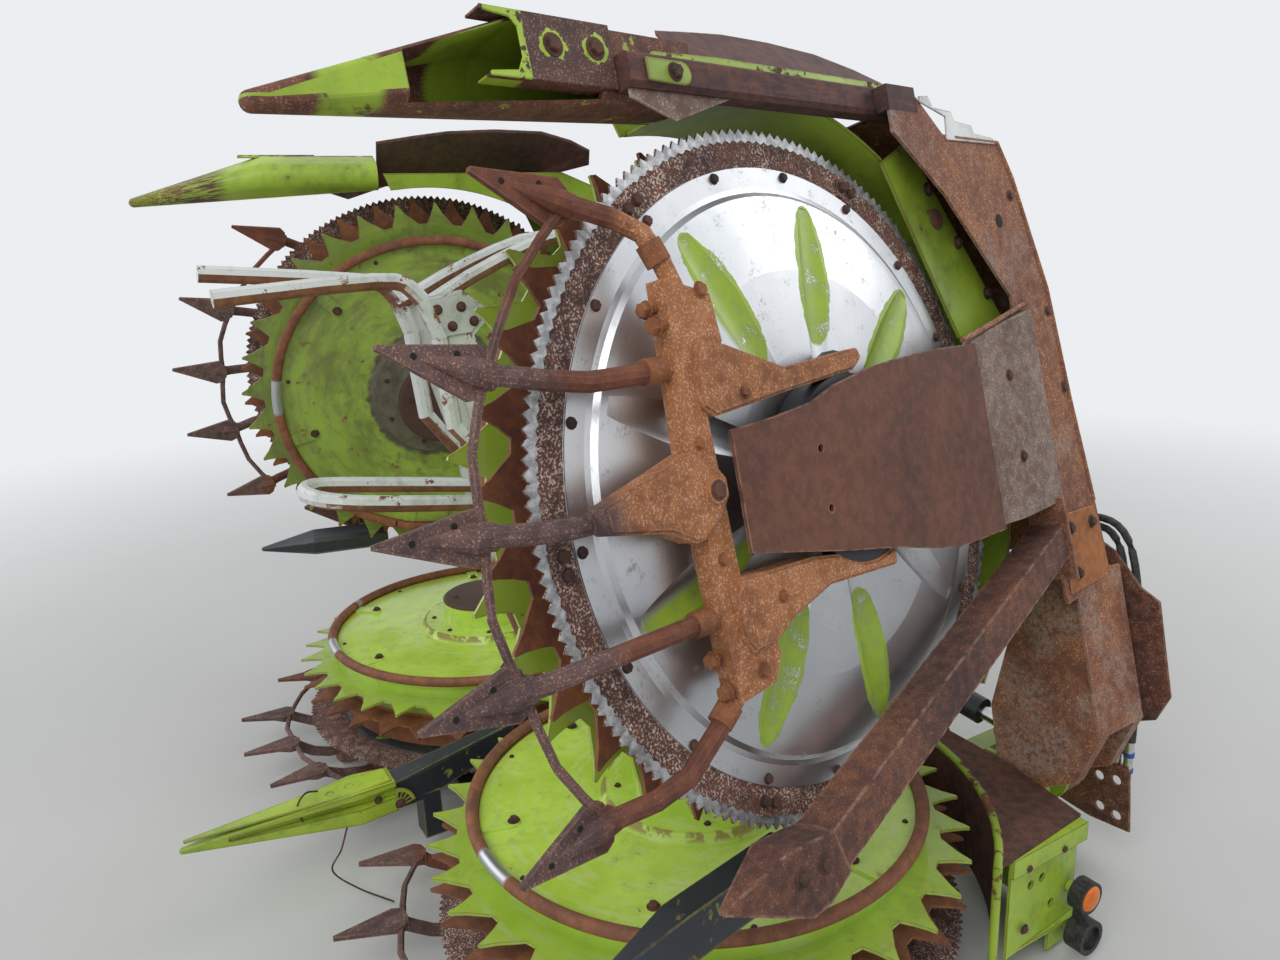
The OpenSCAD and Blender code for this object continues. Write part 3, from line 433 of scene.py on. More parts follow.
def part_painted(f, share, coat, relief, crust, deep):
    """Ends a finish that is paint where share is 1 and rust where it is 0."""
    height = deep * (1 - share) + relief * share
    return f.finish(f.mix(share, crust, coat), 0.72 - share * 0.3, 0.0, height, 0.0009)


def make_hood(unit, lime):
    """Outer divider: rusty outside and lime in its trough on the left, mostly lime on the right."""
    f = Finish("divider_hood_" + unit)
    x, y, z = f.own_axes(unit)
    # The trough, in the hood's section at its full size
    share = ((y + 1.0) / 0.44).most(0.05).least(1.0)
    across = (x - 0.715 - share * 0.095) / share
    over = (z - 0.04 - share * 0.064) / share
    bow = across.length(over.most(0.0))
    side = across.abs().fall(0.0525, 0.0535)
    inside = (over.step(-0.001, 0.001) * bow.fall(0.0465, 0.0475)).most(over.fall(-0.001, 0.001) * side)
    inside = inside * (z + 0.027).step(0.0, 0.001)
    coat, _, relief = paint(f, lime, scaled(lime, 0.66), 0.45, 0.005)
    crust, deep = rust(f, *BROWNS, FLECK, 0.4)
    medium = f.noise(16.0, 4.0, 0.65)
    if unit[1] == "l":
        band = (y + 0.86).abs().fall(0.035, 0.06) * medium.step(0.4, 0.52)
        green = inside.most(band).most(medium.step(0.62, 0.66) * 0.8)
    else:
        stripes = f.noise(3.0, 3.0, 0.6, f.join(across * 26.0, y * 1.5, over * 26.0)).step(0.5, 0.54)
        nose = y.fall(-0.74, -0.66)
        green = (1 - nose * (1 - stripes)) * (1 - z.fall(-0.02, 0.01) * medium.step(0.4, 0.55))
        green = green.most(inside)
    return part_painted(f, green, coat, relief, crust, deep)


def make_cover(unit, lime):
    """Dark rusty cover of an outer divider, with paint left round its bolts and along its front."""
    f = Finish("divider_cover_" + unit)
    x, y, _ = f.own_axes(unit)
    medium = f.noise(30.0, 4.0, 0.65)
    ragged = (medium - 0.5) * 0.05
    left = (y + 0.56 + ragged * 0.5).fall(-0.002, 0.0) * medium.step(0.4, 0.45)
    for bolt_x, bolt_y in COVER_BOLTS:
        away = ((x - bolt_x / 1000) * 1.35).length(y - bolt_y / 1000)
        left = left.most((away + ragged).fall(0.03, 0.033))
    coat, _, relief = paint(f, lime, scaled(lime, 0.7), 0.2, 0.003)
    crust, deep = rust(f, (0.045, 0.024, 0.022), (0.085, 0.042, 0.036), (0.13, 0.06, 0.045), FLECK, 0.45)
    return part_painted(f, left, coat, relief, crust, deep)


def make_bars(white):
    """White guide bars with rust along their undersides and inner sides."""
    f = Finish("worn_white_bars")
    coat, _, relief = paint(f, white, scaled(white, 0.86), 0.2, 0.004)
    medium, fine = f.noises((18.0, 4.0, 0.65), (200.0, 2.0, 0.6))
    under = (f.facing((0, 0.25, -1)) + (medium - 0.5) * 0.5).step(0.05, 0.22)
    crust, deep = rust(f, RUST_BROWN, RUST_RED, (0.3, 0.13, 0.06), FLECK, 0.2)
    share = under.most((medium * 0.8 + fine * 0.2).step(0.6, 0.63))
    return f.finish(f.mix(share, coat, crust), 0.42 + share * 0.3, 0.0, deep * share + relief, 0.0007)


def make_plain(name, dark, light, rough, metal=0.0, scale=70.0, depth=0.0003):
    """One material with a light change of tone and a fine relief, such as rubber or plated steel."""
    f = Finish(name)
    change = f.noise(scale, 3.0, 0.6)
    return f.finish(f.mix(change.step(0.35, 0.7), dark, light), change * 0.15 + rough, metal, change, depth)


# Bare irons: the material's name, its three tones and what differs from make_rust's own values
RUSTS = {
    "sheet": ("rusty_sheet", BROWNS, {"amount": 0.45, "edge": 0.006}),
    "shield": (
        "brown_shield", ((0.06, 0.032, 0.03), (0.092, 0.048, 0.044), (0.15, 0.066, 0.05)),
        {"amount": 0.16, "edge": 0.004},
    ),
    "dark_sheet": (
        "dark_rusty_sheet", ((0.045, 0.021, 0.018), (0.095, 0.04, 0.028), (0.16, 0.062, 0.038)),
        {"amount": 0.25},
    ),
    "skid": (
        "worn_skid_rust", ((0.075, 0.028, 0.018), (0.125, 0.045, 0.026), (0.18, 0.065, 0.034)),
        {"amount": 0.14, "grain": 420.0, "depth": 0.0005, "rough": 0.66, "edge": 0.006},
    ),
    "brace": (
        "brace_rust", ((0.055, 0.026, 0.022), (0.105, 0.044, 0.032), (0.2, 0.076, 0.038)),
        {"depth": 0.0007, "edge": 0.012},
    ),
    "panel": (
        "flecked_panel_rust", (RUST_BROWN, RUST_RED, RUST_ORANGE),
        {"amount": 0.65, "grain": 220.0, "edge": 0.006},
    ),
    "grey_panel": (
        "grey_flecked_rust", ((0.14, 0.08, 0.06), (0.2, 0.135, 0.11), (0.3, 0.215, 0.175)),
        {"fleck": (0.6, 0.5, 0.43), "amount": 0.55, "grain": 220.0, "edge": 0.008},
    ),
    "orange": (
        "bright_orange_rust", ((0.24, 0.085, 0.028), (0.36, 0.125, 0.034), (0.46, 0.17, 0.05)),
        {"amount": 0.2, "depth": 0.0006, "edge": 0.008},
    ),
    "bolt": (
        "bolt_rust", ((0.03, 0.016, 0.014), (0.075, 0.033, 0.024), RUST_BROWN),
        {"amount": 0.1, "grain": 500.0, "depth": 0.0003},
    ),
    "cast_bolt": (
        "orange_bolt_rust", ((0.13, 0.045, 0.022), (0.24, 0.085, 0.032), RUST_ORANGE), {"depth": 0.0004},
    ),
}

# Even materials: the name, two tones, roughness, metal, scale and depth, as make_plain takes them
PLAINS = {
    "edge": ("ground_knife_edge", (0.3, 0.3, 0.31), (0.6, 0.61, 0.62), 0.36, 0.75, 55.0, 0.0004),
    "bright": ("bright_steel", (0.55, 0.55, 0.55), (0.7, 0.7, 0.69), 0.18, 1.0, 60.0, 0.0001),
    "rubber": ("hose_rubber", (0.012, 0.012, 0.013), (0.05, 0.048, 0.045), 0.5, 0.0, 90.0, 0.0004),
    # Near black: painted shade that stands for the dark inside of a hole
    "hole_shade": ("dark_hole", (0.004, 0.004, 0.004), (0.012, 0.009, 0.008), 0.8),
    "amber": ("amber_lens", (0.75, 0.14, 0.008), (0.9, 0.24, 0.012), 0.12, 0.0, 20.0, 0.0001),
    "red": ("red_sleeve", (0.42, 0.02, 0.015), (0.55, 0.05, 0.03), 0.4),
    "blue": ("blue_sleeve", (0.02, 0.06, 0.32), (0.04, 0.1, 0.42), 0.4),
}


def finishes(colours):
    """All the finishes, by the names that the pieces use."""
    lime = tuple(colours.lime)
    slate = tuple(colours.slate)
    white = tuple(colours.white)
    pale_lime = (lime[0] * 1.1, lime[1] * 1.02, lime[2])
    scratched = (RUST_BROWN, (0.24, 0.27, 0.05), (0.3, 0.36, 0.06))
    paints = {
        "lime": ("worn_lime_paint", lime, scaled(lime, 0.72), 0.3),
        "guide": ("scraped_lime_paint", scaled(lime, 0.8), scaled(lime, 0.42), 0.55, 0.01, 0.42),
        "scraped": ("bare_edged_lime_paint", scaled(lime, 0.85), scaled(lime, 0.5), 1.1, 0.008, 0.42),
        "nose": ("nose_lime_paint", pale_lime, scaled(lime, 0.8), 0.2, 0.012),
        "slate": ("worn_slate_paint", slate, scaled(slate, 0.5), 0.3, 0.004, 0.45),
        "slate_lime": ("scratched_slate_paint", slate, scaled(slate, 0.6), 0.55, 0.01, 0.42, scratched),
        "white": ("worn_white_paint", white, scaled(white, 0.8), 0.35, 0.006, 0.38),
    }
    made = {key: make_paint(*values) for key, values in paints.items()}
    made["bars"] = make_bars(white)
    for key, (name, tones, changes) in RUSTS.items():
        made[key] = make_rust(name, *tones, **changes)
    for key, values in PLAINS.items():
        made[key] = make_plain(*values)
    for unit in UNITS:
        made["rotor_" + unit] = make_rotor(unit, lime, 0.8 if unit == "wr" else 0.0)
        made["disc_" + unit] = make_disc(unit, lime)
        made["fingers_" + unit] = make_fingers(unit)
    for unit in WINGS:
        made["frame_" + unit] = make_wing_frame(unit)
        made["hood_" + unit] = make_hood(unit, lime)
        made["cover_" + unit] = make_cover(unit, lime)
    return made


# The finish of each CAD part, by the longest start of its name that is here
CAD_FINISH = {
    "main_frame": "lime", "coupling_frame": "lime", "lock_socket_": "lime", "guide_c": "dark_sheet",
    "end_box_": "lime", "gearbox_": "slate", "skid_": "skid", "divider_carrier": "slate_lime",
    "divider_nose": "nose", "guide_bars": "bars", "rear_guard_": "sheet", "hoses": "rubber",
    "end_roller_": "rubber", "couplings": "bright", "drive_box": "slate", "feed_drum_": "dark_sheet",
    "guide_w": "guide", "brace_": "brace", "shield_": "shield", "inner_divider_": "slate_lime",
    "barrel_": "slate", "rod_": "bright",
}
for unit in UNITS:
    CAD_FINISH["rotor_" + unit] = "rotor_" + unit
    CAD_FINISH["knives_" + unit] = "disc_" + unit
    CAD_FINISH["fingers_" + unit] = "fingers_" + unit
for unit in WINGS:
    CAD_FINISH["frame_" + unit] = "frame_" + unit
    CAD_FINISH["outer_divider_" + unit[1]] = "hood_" + unit

FINISHES = {}


def look_up(name):
    """The finish of that name, made with the panel's colours when it is first asked for."""
    if not FINISHES:
        FINISHES.update(finishes(bpy.context.scene.header_colours))
    return FINISHES[name]


# Mesh helpers


def new_object(name, data):
    """An object with its data, linked to the scene."""
    made = bpy.data.objects.new(name, data)
    bpy.context.scene.collection.objects.link(made)
    return made


def face_out(mesh):
    """Turns every face of a mesh of closed shells outwards."""
    b = bmesh.new()
    b.from_mesh(mesh)
    bmesh.ops.remove_doubles(b, verts=b.verts, dist=1e-7)
    bmesh.ops.recalc_face_normals(b, faces=b.faces)
    b.to_mesh(mesh)
    b.free()


def settle(name, mesh, finish, body, smooth=None):
    """Makes a finished mesh a piece with its finish, riding on a body."""
    face_out(mesh)
    mesh.name = name
    mesh.materials.clear()
    mesh.materials.append(look_up(finish))
    piece = new_object(name, mesh)
    if smooth is not None:
        mesh.shade_smooth()
        mesh.set_sharp_from_angle(angle=math.radians(smooth))
    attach(piece, body)
    return piece


def placed(points, unit):
    """Points in a unit's own axes, in metres, taken to the row frame."""
    matrix = place(unit)
    return [tuple(matrix @ Vector(p)) for p in points]


def add_piece(name, verts, faces, finish, unit, body, smooth=None):
    """A piece of closed shells from points in a unit's own axes, in metres."""
    mesh = bpy.data.meshes.new(name)
    mesh.from_pydata(placed(verts, unit), [], faces)
    return settle(name, mesh, finish, body, smooth)


def plate(name, outline, low, high, finish, unit, holes=(), bevel=0.0012, turned=None):
    """A fixed plate with a small bevel from an outline in millimetres, between two heights in metres."""
    loops = [[Vector((p[0] / 1000, p[1] / 1000, 0)) for p in loop] for loop in (outline, *holes)]
    flat = [p for loop in loops for p in loop]
    b = bmesh.new()
    layers = [[b.verts.new((p.x, p.y, z)) for p in flat] for z in (low, high)]
    for tri in tessellate_polygon(loops):
        for layer in layers:
            b.faces.new([layer[i] for i in tri])
    start = 0
    for loop in loops:
        n = len(loop)
        for i in range(n):
            j = start + (i + 1) % n
            i += start
            b.faces.new((layers[0][i], layers[0][j], layers[1][j], layers[1][i]))
        start += n
    bmesh.ops.recalc_face_normals(b, faces=b.faces)
    bmesh.ops.dissolve_limit(b, angle_limit=0.02, verts=b.verts, edges=b.edges)
    if bevel:
        rims = [e for e in b.edges if len(e.link_faces) == 2 and e.calc_face_angle() > 0.6]
        bmesh.ops.bevel(b, geom=rims, offset=bevel, segments=1, affect="EDGES")
    b.transform(place(unit) @ (turned or Matrix.Identity(4)))
    mesh = bpy.data.meshes.new(name)
    b.to_mesh(mesh)
    b.free()
    return settle(name, mesh, finish, fixed_body(unit))


def polar(radius, angle):
    return radius * math.cos(angle), radius * math.sin(angle)


def round_loop(x, y, radius, sides):
    """A round outline in millimetres."""
    turns = [TURN * i / sides for i in range(sides)]
    return [(x + radius * math.cos(a), y + radius * math.sin(a)) for a in turns]


def arc(x, y, radius, start, end, steps):
    """Points of an arc in millimetres, between two angles in degrees."""
    turns = [math.radians(start + (end - start) * i / steps) for i in range(steps + 1)]
    return [(x + radius * math.cos(a), y + radius * math.sin(a)) for a in turns]


def upright(x):
    """Stands a plate's outline up at a place x, its first number to the rear and its second upwards."""
    return Matrix(((0, 0, 1, x), (1, 0, 0, 0), (0, 1, 0, 0), (0, 0, 0, 1)))


def smooth_path(points, steps=6):
    """A smooth way through points, as a Catmull-Rom curve."""
    p = [Vector(q) for q in points]
    p = [p[0] * 2 - p[1], *p, p[-1] * 2 - p[-2]]
    way = []
    for a, b, c, d in zip(p, p[1:], p[2:], p[3:]):
        bend = 2 * a - 5 * b + 4 * c - d
        twist = 3 * b - a - 3 * c + d
        for t in (i / steps for i in range(steps)):
            way.append(0.5 * (2 * b + (c - a) * t + bend * t * t + twist * t**3))
    return [*way, p[-2]]


TREES = {}


def new_tree(name, sockets):
    """A Geometry Nodes tree with named inputs, and a Sock for each of them."""
    group = bpy.data.node_groups.new(name, "GeometryNodeTree")
    face = group.interface
    face.new_socket("Geometry", in_out="INPUT", socket_type="NodeSocketGeometry")
    for label, kind in {**sockets, "Material": "Material"}.items():
        face.new_socket(label, in_out="INPUT", socket_type="NodeSocket" + kind)
    face.new_socket("Geometry", in_out="OUTPUT", socket_type="NodeSocketGeometry")
    t = Tree(group)
    start = group.nodes.new("NodeGroupInput")
    return t, {s.name: Sock(t, s) for s in start.outputs if s.name}


def end_tree(t, geometry, material):
    """Ends a tree in Realize Instances and Set Material."""
    real = t.node("GeometryNodeRealizeInstances", None, {0: geometry})
    done = t.node("GeometryNodeSetMaterial", None, {"Geometry": real, "Material": material})
    t.tree.links.new(done.socket, t.tree.nodes.new("NodeGroupOutput").inputs[0])
    return t.tree


def bolt_tree():
    """Chamfered bolt heads on washers and shanks, stood along aim and scaled by size at each point."""
    sizes = ("Head radius", "Head height", "Washer radius", "Shank length")
    t, s = new_tree("bolts", {"Sides": "Int", **dict.fromkeys(sizes, "Float"), "Seed": "Int"})
    radius, head, wide, shank = (s[label] for label in sizes)

    def cone(foot, sides, low, top, depth):
        """One closed cone of a bolt, with its foot at a height."""
        shape = {"Vertices": sides, "Radius Top": top, "Radius Bottom": low, "Depth": depth}
        made = t.node("GeometryNodeMeshCone", None, shape)
        lifted = {"Geometry": made, "Translation": t.join(0.0, 0.0, foot)}
        return t.node("GeometryNodeTransform", None, lifted)

    base = shank + head * 0.2
    parts = (
        cone(base, s["Sides"], radius, radius, head * 0.7),
        cone(base + head * 0.7, s["Sides"], radius, radius * 0.84, head * 0.3),
        cone(shank, 14, wide, wide * 0.95, head * 0.2),
        cone(0.0, 8, radius * 0.6, radius * 0.6, shank),
    )
    joined = t.tree.nodes.new("GeometryNodeJoinGeometry")
    for part in parts:
        t.tree.links.new(part.socket, joined.inputs[0])
    aim = t.node("GeometryNodeInputNamedAttribute", {"data_type": "FLOAT_VECTOR"}, {"Name": "aim"})
    size = t.node("GeometryNodeInputNamedAttribute", {"data_type": "FLOAT"}, {"Name": "size"})
    stood = t.node("FunctionNodeAlignRotationToVector", {"axis": "Z"}, {"Vector": aim})
    turn = t.node("FunctionNodeRandomValue", {"data_type": "FLOAT"}, {3: TURN, "Seed": s["Seed"]}, out=1)
    spin = {"Rotation": stood, "Rotate By": t.join(0.0, 0.0, turn)}
    turned = t.node("FunctionNodeRotateRotation", {"rotation_space": "LOCAL"}, spin)
    bolt = Sock(t, joined.outputs[0])
    inputs = {"Points": s["Geometry"], "Instance": bolt, "Rotation": turned, "Scale": size}
    return end_tree(t, t.node("GeometryNodeInstanceOnPoints", None, inputs), s["Material"])


def sweep_tree():
    """Round bars with closed ends along the edges of a mesh."""
    t, s = new_tree("bars", {"Bar radius": "Float", "Sides": "Int"})
    way = t.node("GeometryNodeMeshToCurve", None, {"Mesh": s["Geometry"]})
    section = {"Resolution": s["Sides"], "Radius": s["Bar radius"]}
    ring = t.node("GeometryNodeCurvePrimitiveCircle", None, section)
    bar = {"Curve": way, "Profile Curve": ring, "Fill Caps": True}
    return end_tree(t, t.node("GeometryNodeCurveToMesh", None, bar), s["Material"])


def grown(name, mesh, make_tree, sizes, finish, body, smooth=None):
    """Runs a tree, made at its first use, on a mesh and keeps its result as a plain mesh on a body."""
    if make_tree not in TREES:
        TREES[make_tree] = make_tree()
    tree = TREES[make_tree]
    source = new_object(name, mesh)
    modifier = source.modifiers.new("parts", "NODES")
    modifier.node_group = tree
    inputs = {i.name: i.identifier for i in tree.interface.items_tree if i.in_out == "INPUT"}
    for label, value in {**sizes, "Material": look_up(finish)}.items():
        modifier[inputs[label]] = value
    graph = bpy.context.evaluated_depsgraph_get()
    made = bpy.data.meshes.new_from_object(source.evaluated_get(graph), depsgraph=graph)
    source.modifiers.remove(modifier)
    bpy.data.objects.remove(source)
    bpy.data.meshes.remove(mesh)
    return settle(name, made, finish, body, smooth)


def bolts(name, unit, spots, radius, height, washer=None, shank=0.0004, finish="bolt", sides=6, body=None):
    """Bolts at spots in a unit's own axes, each a place in metres, a way it points and a scale."""
    places, aims, scales = zip(*spots)
    turned = [place(unit).to_3x3() @ Vector(aim) for aim in aims]
    mesh = bpy.data.meshes.new(name + "_spots")
    mesh.from_pydata(placed(places, unit), [], [])
    mesh.attributes.new("aim", "FLOAT_VECTOR", "POINT").data.foreach_set("vector", np.ravel(turned))
    mesh.attributes.new("size", "FLOAT", "POINT").data.foreach_set("value", scales)
    sizes = {"Sides": sides, "Head radius": radius, "Head height": height, "Seed": len(name),
             "Washer radius": washer or radius * 1.05, "Shank length": shank}
    return grown(name, mesh, bolt_tree, sizes, finish, body or fixed_body(unit), 30 if sides > 6 else None)


def sweeps(name, unit, ways, radius, finish, sides):
    """Fixed round bars along ways of points in a unit's own axes."""
    points, edges = [], []
    for way in ways:
        edges += [(len(points) + i, len(points) + i + 1) for i in range(len(way) - 1)]
        points += placed(way, unit)
    mesh = bpy.data.meshes.new(name + "_way")
    mesh.from_pydata(points, edges, [])
    sizes = {"Bar radius": radius, "Sides": sides}
    return grown(name, mesh, sweep_tree, sizes, finish, fixed_body(unit), 40)


def mm(*values):
    return tuple(v / 1000 for v in values)


def aimed(aim, *places):
    """Bolts' spots that point one way, from x, y and z in millimetres and a scale where it isn't 1."""
    return [(mm(*p[:3]), aim, (*p, 1.0)[3]) for p in places]


def below(z, *places):
    """Bolts' spots on a flat underside, from x and y in millimetres and a scale where it isn't 1."""
    return aimed(DOWN, *[(x, y, z, *size) for x, y, *size in places])


def around(radius, degrees, z, aim=DOWN, size=1.0):
    """Bolts' spots on a circle round a unit's own axis, its radius and height in metres."""
    return [((*polar(radius, math.radians(a)), z), aim, size) for a in degrees]


# Stage


class HEADER_OT_stage(bpy.types.Operator):
    """Adds the floor, the soft studio light and the camera at the photograph's angle"""

    bl_idname = "header.stage"
    bl_label = "Stage"

    def execute(self, context):
        look = context.scene.header_look
        self.floor()
        self.sky(context, look)
        for name, spot, aim, size, power in (
            ("key", (4.5, -5.0, 6.5), (0.6, 0, 0.9), 5.0, look.key),
            ("fill", (-5.0, -4.5, 4.0), (0, 0, 0.8), 5.0, look.key * 0.35),
            ("rear", (1.5, 5.5, 5.0), (0.4, 0.4, 1.0), 4.0, look.key * 0.4),
        ):
            lamp = bpy.data.lights.new(name, "AREA")
            lamp.size = size
            lamp.energy = power
            lit = new_object(name, lamp)
            lit.location = spot
            lit.rotation_euler = (Vector(aim) - Vector(spot)).to_track_quat("-Z", "Y").to_euler()
        self.camera(context)
        context.scene.view_settings.view_transform = "Standard"
        return {"FINISHED"}

    def floor(self):
        """A plain pale floor that brightens to the background's tone far from the header."""
        f = Finish("pale_floor")
        tone = f.noise(1.5, 2.0, 0.5)
        away = f.node("ShaderNodeVectorMath", {"operation": "LENGTH"}, {0: f.spot}, out="Value")
        near = f.mix(tone, (0.62, 0.62, 0.61), (0.66, 0.66, 0.65))
        glowing = away.step(2.6, 9.0) * f.node("ShaderNodeLightPath", out="Is Camera Ray")
        black = (0.0, 0.0, 0.0)
        f.finish(f.mix(glowing, near, black), 0.9)
        f.shader.inputs["Emission Strength"].default_value = 1.0
        f.shader.inputs["Specular IOR Level"].default_value = 0.0
        glow = f.mix(glowing, black, (0.84, 0.86, 0.88))
        f.tree.links.new(glow.socket, f.shader.inputs["Emission Color"])
        reach = 60.0
        mesh = bpy.data.meshes.new("floor")
        corners = [(-reach, -reach, 0), (reach, -reach, 0), (reach, reach, 0), (-reach, reach, 0)]
        mesh.from_pydata(corners, [], [(0, 1, 2, 3)])
        mesh.materials.append(f.material)
        floor = new_object("floor", mesh)

    def sky(self, context, look):
        """Even light on the header, and a brighter background where the camera sees it."""
        world = bpy.data.worlds.new("studio")
        context.scene.world = world
        world.use_nodes = True
        t = Tree(world.node_tree)
        back = world.node_tree.nodes["Background"]
        path = t.node("ShaderNodeLightPath", out="Is Camera Ray")
        seen = path.most(t.outs(path, "Is Glossy Ray")).most(t.outs(path, "Is Transmission Ray"))
        strength = seen * (0.9 - look.sky) + look.sky
        world.node_tree.links.new(strength.socket, back.inputs["Strength"])
        back.inputs["Color"].default_value = (0.93, 0.95, 0.98, 1)

    def camera(self, context):
        """The camera as it was fitted to the photograph."""
        camera = bpy.data.cameras.new("camera")
        camera.sensor_width = 36.0
        camera.lens = 26.277
        camera.clip_end = 200.0
        yaw, pitch, roll = 0.5368, -0.2454, -0.0381
        ahead = Vector((-math.cos(yaw) * math.cos(pitch), math.sin(yaw) * math.cos(pitch), math.sin(pitch)))
        right = ahead.cross(Vector(UP)).normalized()
        over = right.cross(ahead)
        side = right * math.cos(roll) + over * math.sin(roll)
        top = over * math.cos(roll) - right * math.sin(roll)
        turned = Matrix((side, top, -ahead)).transposed().to_4x4()
        shot = new_object("camera", camera)
        shot.matrix_world = Matrix.Translation((2.6753, -1.2826, 1.889)) @ turned
        context.scene.camera = shot


class HEADER_OT_cad_finishes(bpy.types.Operator):
    """Gives every CAD part its worn finish"""

    bl_idname = "header.cad_finishes"
    bl_label = "Finishes of the CAD parts"

    def execute(self, context):
        for name, node in NODES.items():
            key = max((k for k in CAD_FINISH if name.startswith(k)), key=len)
            node.data.materials.clear()
            node.data.materials.append(look_up(CAD_FINISH[key]))
        return {"FINISHED"}


class HEADER_OT_knife_trim(bpy.types.Operator):
    """Adds the ground edges of the knife rings and the bolts of the dishes and the joint plates"""

    bl_idname = "header.knife_trim"
    bl_label = "Knife edges and dish bolts"

    def execute(self, context):
        sizes = context.scene.header_sizes
        for unit in UNITS:
            body = "knives_" + unit
            self.edge("knife_edge_" + unit, sizes.edge_width, unit, body)
            dish = around(0.626, [8 + 20 * i for i in range(18)], RING_LOW)
            bolts("dish_bolts_" + unit, unit, dish, sizes.dish_bolt, 0.006, 0.0115, body=body)
            pairs = around(0.668, [a + s * 1.35 for a in JOINT_PLATES for s in (-1, 1)], JOINT_LOW)
            bolts("ring_bolts_" + unit, unit, pairs, 0.0115, 0.009, 0.013, body=body)
        return {"FINISHED"}

    def edge(self, name, width, unit, body):
        """A ground strip along the zigzag, its thick side inwards and scalloped like the points."""
        count = 360
        scallop = 0.006
        outer = [(KNIFE_POINT, KNIFE_VALLEY)[i % 2] for i in range(count)]
        inner = [KNIFE_VALLEY - width + (scallop, 0.0)[i % 2] for i in range(count)]
        rows = [(inner, 0.0001), (inner, 0.0018), (outer, 0.0005), (outer, 0.0001)]
        verts = [(*polar(r, TURN * i / count), KNIFE_LOW - z) for row, z in rows for i, r in enumerate(row)]
        starts = [k * count for k in range(len(rows))]
        faces = [(a + i, a + (i + 1) % count, b + (i + 1) % count, b + i)
                 for a, b in zip(starts, (*starts[1:], 0)) for i in range(count)]
        add_piece(name, verts, faces, "edge", unit, body)


class HEADER_OT_rotor_trim(bpy.types.Operator):
    """Adds the bolts on the rotors' pads and round their hubs"""

    bl_idname = "header.rotor_trim"
    bl_label = "Rotor bolts"

    def execute(self, context):
        for unit in UNITS:
            body = "rotor_" + unit
            pads = around(0.503, [15 + 60 * i for i in range(6)], 0.283, UP)
            bolts("pad_bolts_" + unit, unit, pads, 0.0125, 0.009, 0.017, body=body)
            ring = around(0.212, [20 + 45 * i for i in range(8)], 0.302, UP)
            ring += around(0.566, [39 + 60 * i for i in range(6)], 0.276, UP, 0.8)
            bolts("hub_bolts_" + unit, unit, ring, 0.008, 0.005, 0.01, body=body)
            lugs = around(0.118, [40 + 120 * i for i in range(3)], 0.39, UP)
            bolts("hub_lugs_" + unit, unit, lugs, 0.007, 0.005, 0.012, body=body)
        return {"FINISHED"}


class HEADER_OT_finger_trim(bpy.types.Operator):
    """Adds the long bolts and the clamps of the fingers and their beams, and dark discs of painted shade
    for their holes
    """

    bl_idname = "header.finger_trim"
    bl_label = "Finger clamps and bolts"

    def execute(self, context):
        for unit in UNITS:
            axes = finger_axes(unit)
            front = ((356, -438, -92), (326, -439, -111, 1.05), (-256, -438, -92), (-312, -436, -108))
            bolts("long_bolts_" + unit, axes, aimed(FRONT, *front), 0.0145, 0.012, 0.017, 0.02, "cast_bolt")
            under = below(BEAM_LOW, (378, -352), (-300, -372), (118, -424, 0.8), (-86, -420, 0.8))
            under += below(-135, (190, -300, 0.8), (-185, -300, 0.8))
            bolts("beam_bolts_" + unit, axes, under, 0.012, 0.008, 0.016, finish="cast_bolt")
            bolts("boss_bolt_" + unit, axes, below(-145, (34, -421)), 0.014, 0.0038, 0.019)
            sweeps("tube_collars_" + unit, axes, self.collars(), 0.0235, "cast_bolt", 12)
            # Thin near-black discs: painted shade standing for two holes under each cast point
            bolts("point_holes_" + unit, axes, self.holes(), 0.0052, 0.0006, finish="hole_shade", sides=14)
        return {"FINISHED"}

    def collars(self):
        """The ways of the collars round the tubes, where they leave the beam."""
        ways = []
        for root, bend, *_ in FINGERS:
            start = Vector(mm(*root, -100.5))
            along = Vector(mm(*bend, -80.5)) - start
            first = 0.052 / along.length if abs(root[0]) > 150 else 0.2
            ways.append([start + along * (first + 0.02 / along.length * i) for i in range(3)])
        return ways

    def holes(self):
        """Spots for two discs of painted shade, which stand for holes, in the underside of each cast point.
        """
        places = []
        for *_, neck, tip in FINGERS:
            way = Vector((tip[0] - neck[0], tip[1] - neck[1], 0)).normalized()
            side = Vector((-way.y, way.x, 0))
            for back, beside, z in ((58, 0.5, -7.0), (128, 21, -9.2)):
                at = Vector((*tip, 0)) - way * back + side * beside
                places.append((at.x, at.y, z))
        return aimed(DOWN, *places)


